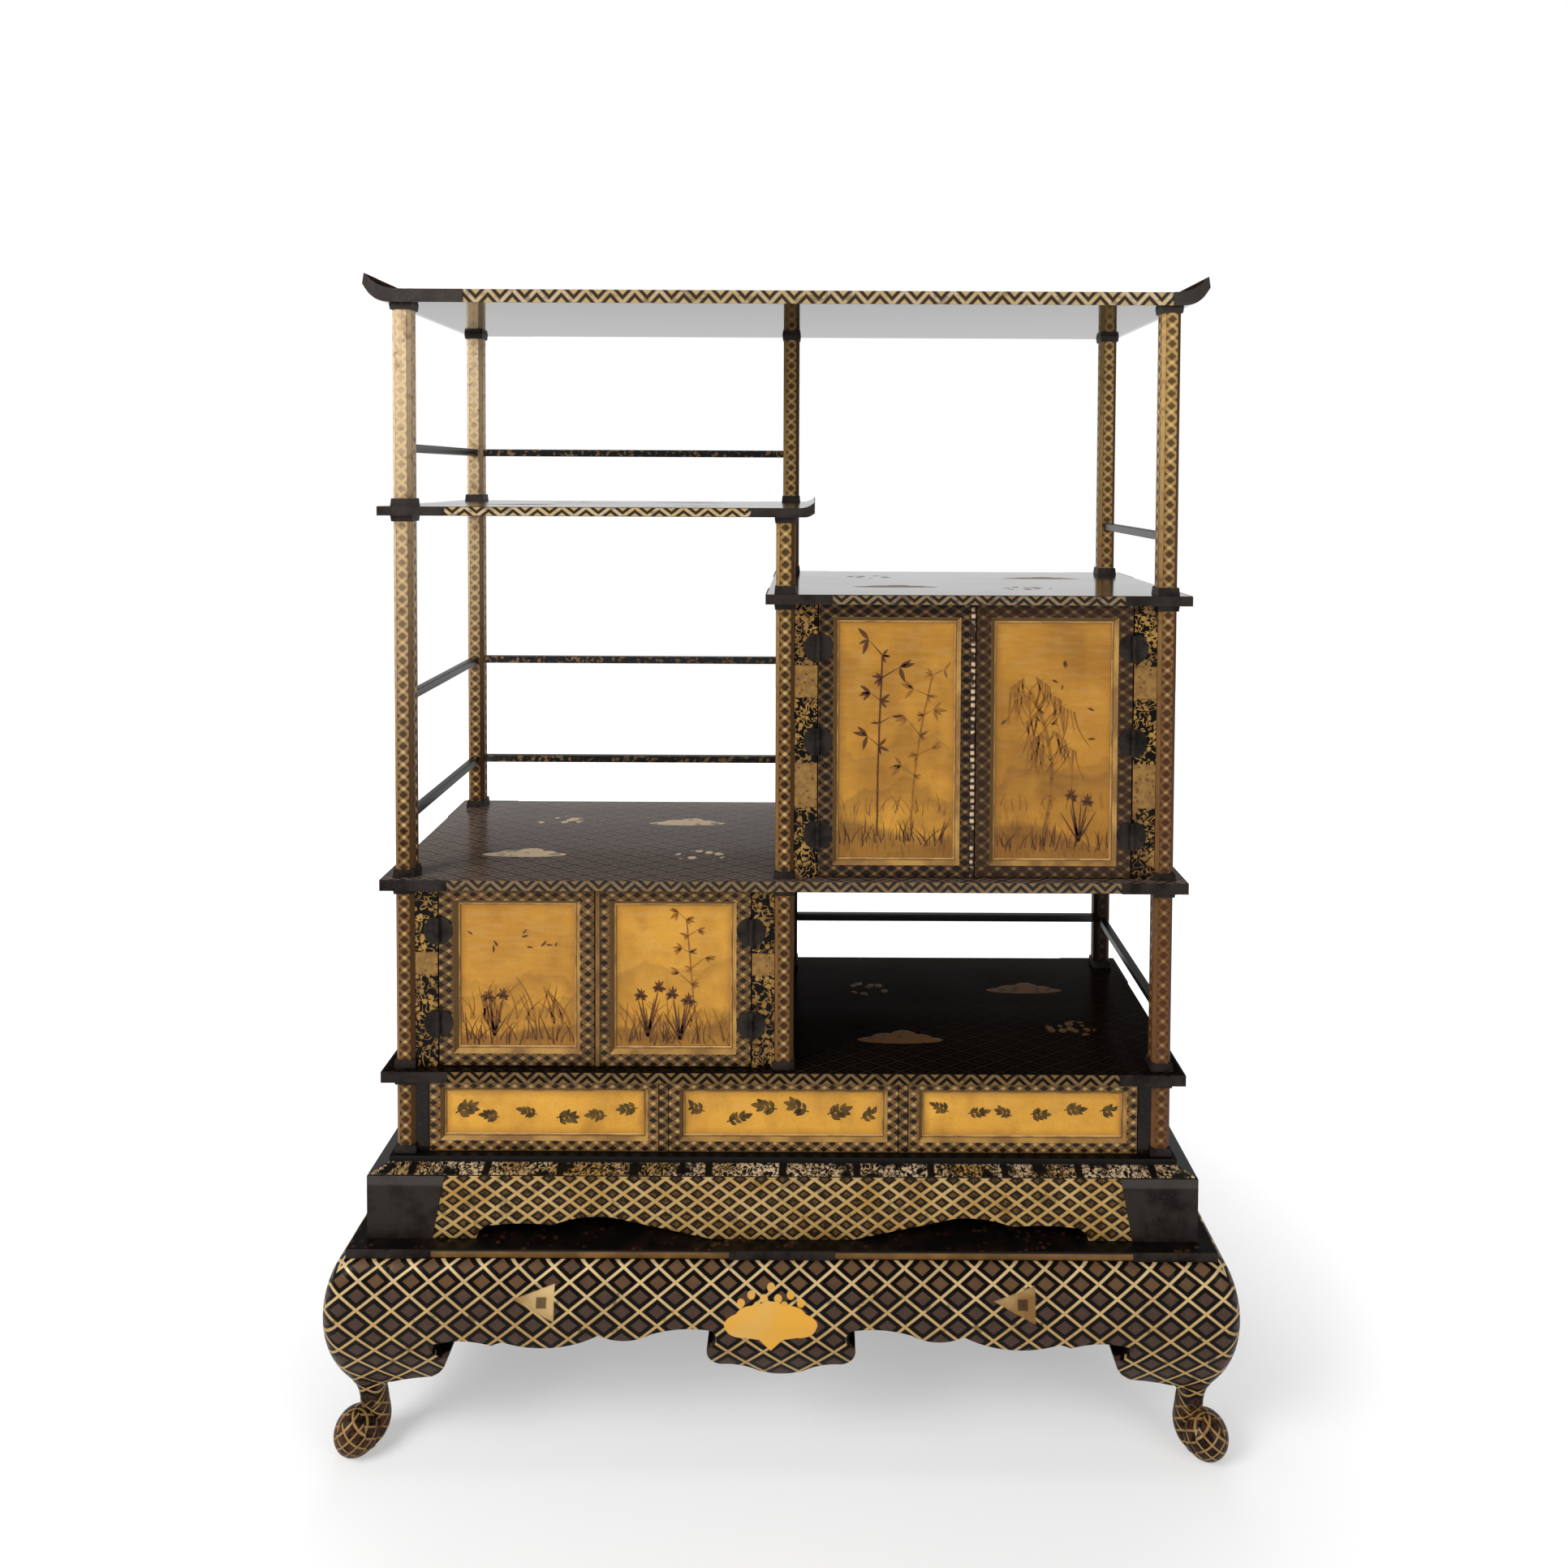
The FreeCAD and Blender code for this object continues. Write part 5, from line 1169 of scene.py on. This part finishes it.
class HingesOperator(bpy.types.Operator):
    """Dresses the hinges"""

    bl_idname = "cabinet.hinges"
    bl_label = "Hinges"

    def execute(self, context):
        eased("fixed_hinge_leaves", mount_metal(), FINE_EDGE)
        for door in DOORS:
            eased(f"{door}_door_hinges", mount_metal(), FINE_EDGE)
        return {"FINISHED"}


class StageOperator(bpy.types.Operator):
    """Sets the floor, the soft lights, the white surroundings and the camera"""

    bl_idname = "cabinet.stage"
    bl_label = "Stage"

    def execute(self, context):
        self.add_floor()
        self.add_backdrop()
        self.add_surroundings()
        for light in LIGHTS:
            self.add_light(*light)
        self.add_camera(context.scene.cabinet_studio)
        return {"FINISHED"}

    def add_sheet(self, name, material, **place):
        bpy.ops.object.select_all(action="DESELECT")
        bpy.ops.mesh.primitive_plane_add(size=24, **place)
        bpy.ops.object.transform_apply()
        sheet = bpy.context.object
        sheet.name = name
        sheet.data.materials.append(material)

    def add_floor(self):
        """A pale floor that takes the shadow and turns white away from it."""
        f = Finish("pale_floor")
        paint = f.shader("BsdfDiffuse", Color=(0.93, 0.93, 0.93))
        reach = f.node("ShaderNodeVectorMath", {"operation": "LENGTH"}, {0: f.place})
        far = f.ramp(reach.outputs["Value"], start=0.5, end=1.4, low=0.3, high=1)
        white = f.shader("Emission", Strength=1.25)
        self.add_sheet("floor", f.end(f.blend(f.ray("Is Camera Ray") * far, paint, white)))

    def add_backdrop(self):
        """A tall white cloth far behind; the glossy boards mirror it bright along its foot and dim above."""
        f = Finish("white_backdrop")
        glow = f.shader("Emission", Color=f.ramp(f.z, start=1650, end=2800, low=1, high=0))
        cloth = f.blend(f.ray("Is Glossy Ray"), f.shader("BsdfDiffuse"), glow)
        material = f.end(f.blend(f.ray("Is Camera Ray"), cloth, f.shader("Emission")))
        self.add_sheet("backdrop", material, location=(0, 5, 12), rotation=(math.pi / 2, 0, 0))

    def add_surroundings(self):
        """Soft even light, which the camera sees as white."""
        world = bpy.data.worlds.new("studio")
        bpy.context.scene.world = world
        world.use_nodes = True
        nodes = Nodes(world.node_tree)
        soft = nodes.shader("Background", Color=(0.97, 0.98, 1.0), Strength=0.26)
        white = nodes.shader("Background", Color=(1, 1, 1))
        nodes.node("ShaderNodeOutputWorld", {}, {0: nodes.blend(nodes.ray("Is Camera Ray"), soft, white)})

    def add_light(self, name, place, aim, size, power):
        bpy.ops.object.light_add(type="AREA", location=place)
        light = bpy.context.object
        light.name = name
        light.data.size = size
        light.data.energy = power
        light.rotation_euler = (Vector(aim) - Vector(place)).to_track_quat("-Z", "Y").to_euler()

    def add_camera(self, studio):
        place = (studio.camera_right, -studio.camera_ahead, studio.camera_height)
        bpy.ops.object.camera_add(location=place, rotation=(math.pi / 2 - studio.pitch, studio.roll, 0))
        camera = bpy.context.object
        camera.data.lens = studio.lens
        camera.data.shift_x = studio.shift_right
        camera.data.shift_y = studio.shift_up
        bpy.context.scene.camera = camera
        bpy.context.scene.view_settings.view_transform = "Standard"


class CabinetPanel(bpy.types.Panel):
    """Lists the cabinet's pieces"""

    bl_idname = "VIEW3D_PT_cabinet"
    bl_label = "Cabinet"
    bl_space_type = "VIEW_3D"
    bl_region_type = "UI"
    bl_category = "Cabinet"

    def draw(self, context):
        for operator in OPERATORS:
            self.layout.operator(operator.bl_idname)
        for group in [getattr(context.scene, name) for name in GROUPS]:
            for name in group.bl_rna.properties.keys():
                if name not in ("rna_type", "name"):
                    self.layout.prop(group, name)


GROUPS = {"cabinet_colours": CabinetColours, "cabinet_patterns": CabinetPatterns,
          "cabinet_studio": CabinetStudio}
OPERATORS = (StandOperator, PlinthOperator, CaseOperator, FrameOperator, BoardsOperator, DrawersOperator,
             DoorsOperator, HingesOperator, StageOperator)
CLASSES = (*GROUPS.values(), *OPERATORS, CabinetPanel)


def register():
    for item in CLASSES:
        bpy.utils.register_class(item)
    for name, group in GROUPS.items():
        setattr(bpy.types.Scene, name, bpy.props.PointerProperty(type=group))


def unregister():
    for name in GROUPS:
        delattr(bpy.types.Scene, name)
    for item in reversed(CLASSES):
        bpy.utils.unregister_class(item)


def main():
    register()
    bpy.ops.cabinet.stand()
    bpy.ops.cabinet.plinth()
    bpy.ops.cabinet.case()
    bpy.ops.cabinet.posts()
    bpy.ops.cabinet.boards()
    bpy.ops.cabinet.drawers()
    bpy.ops.cabinet.doors()
    bpy.ops.cabinet.hinges()
    bpy.ops.cabinet.stage()


if __name__ == "__main__":
    main()
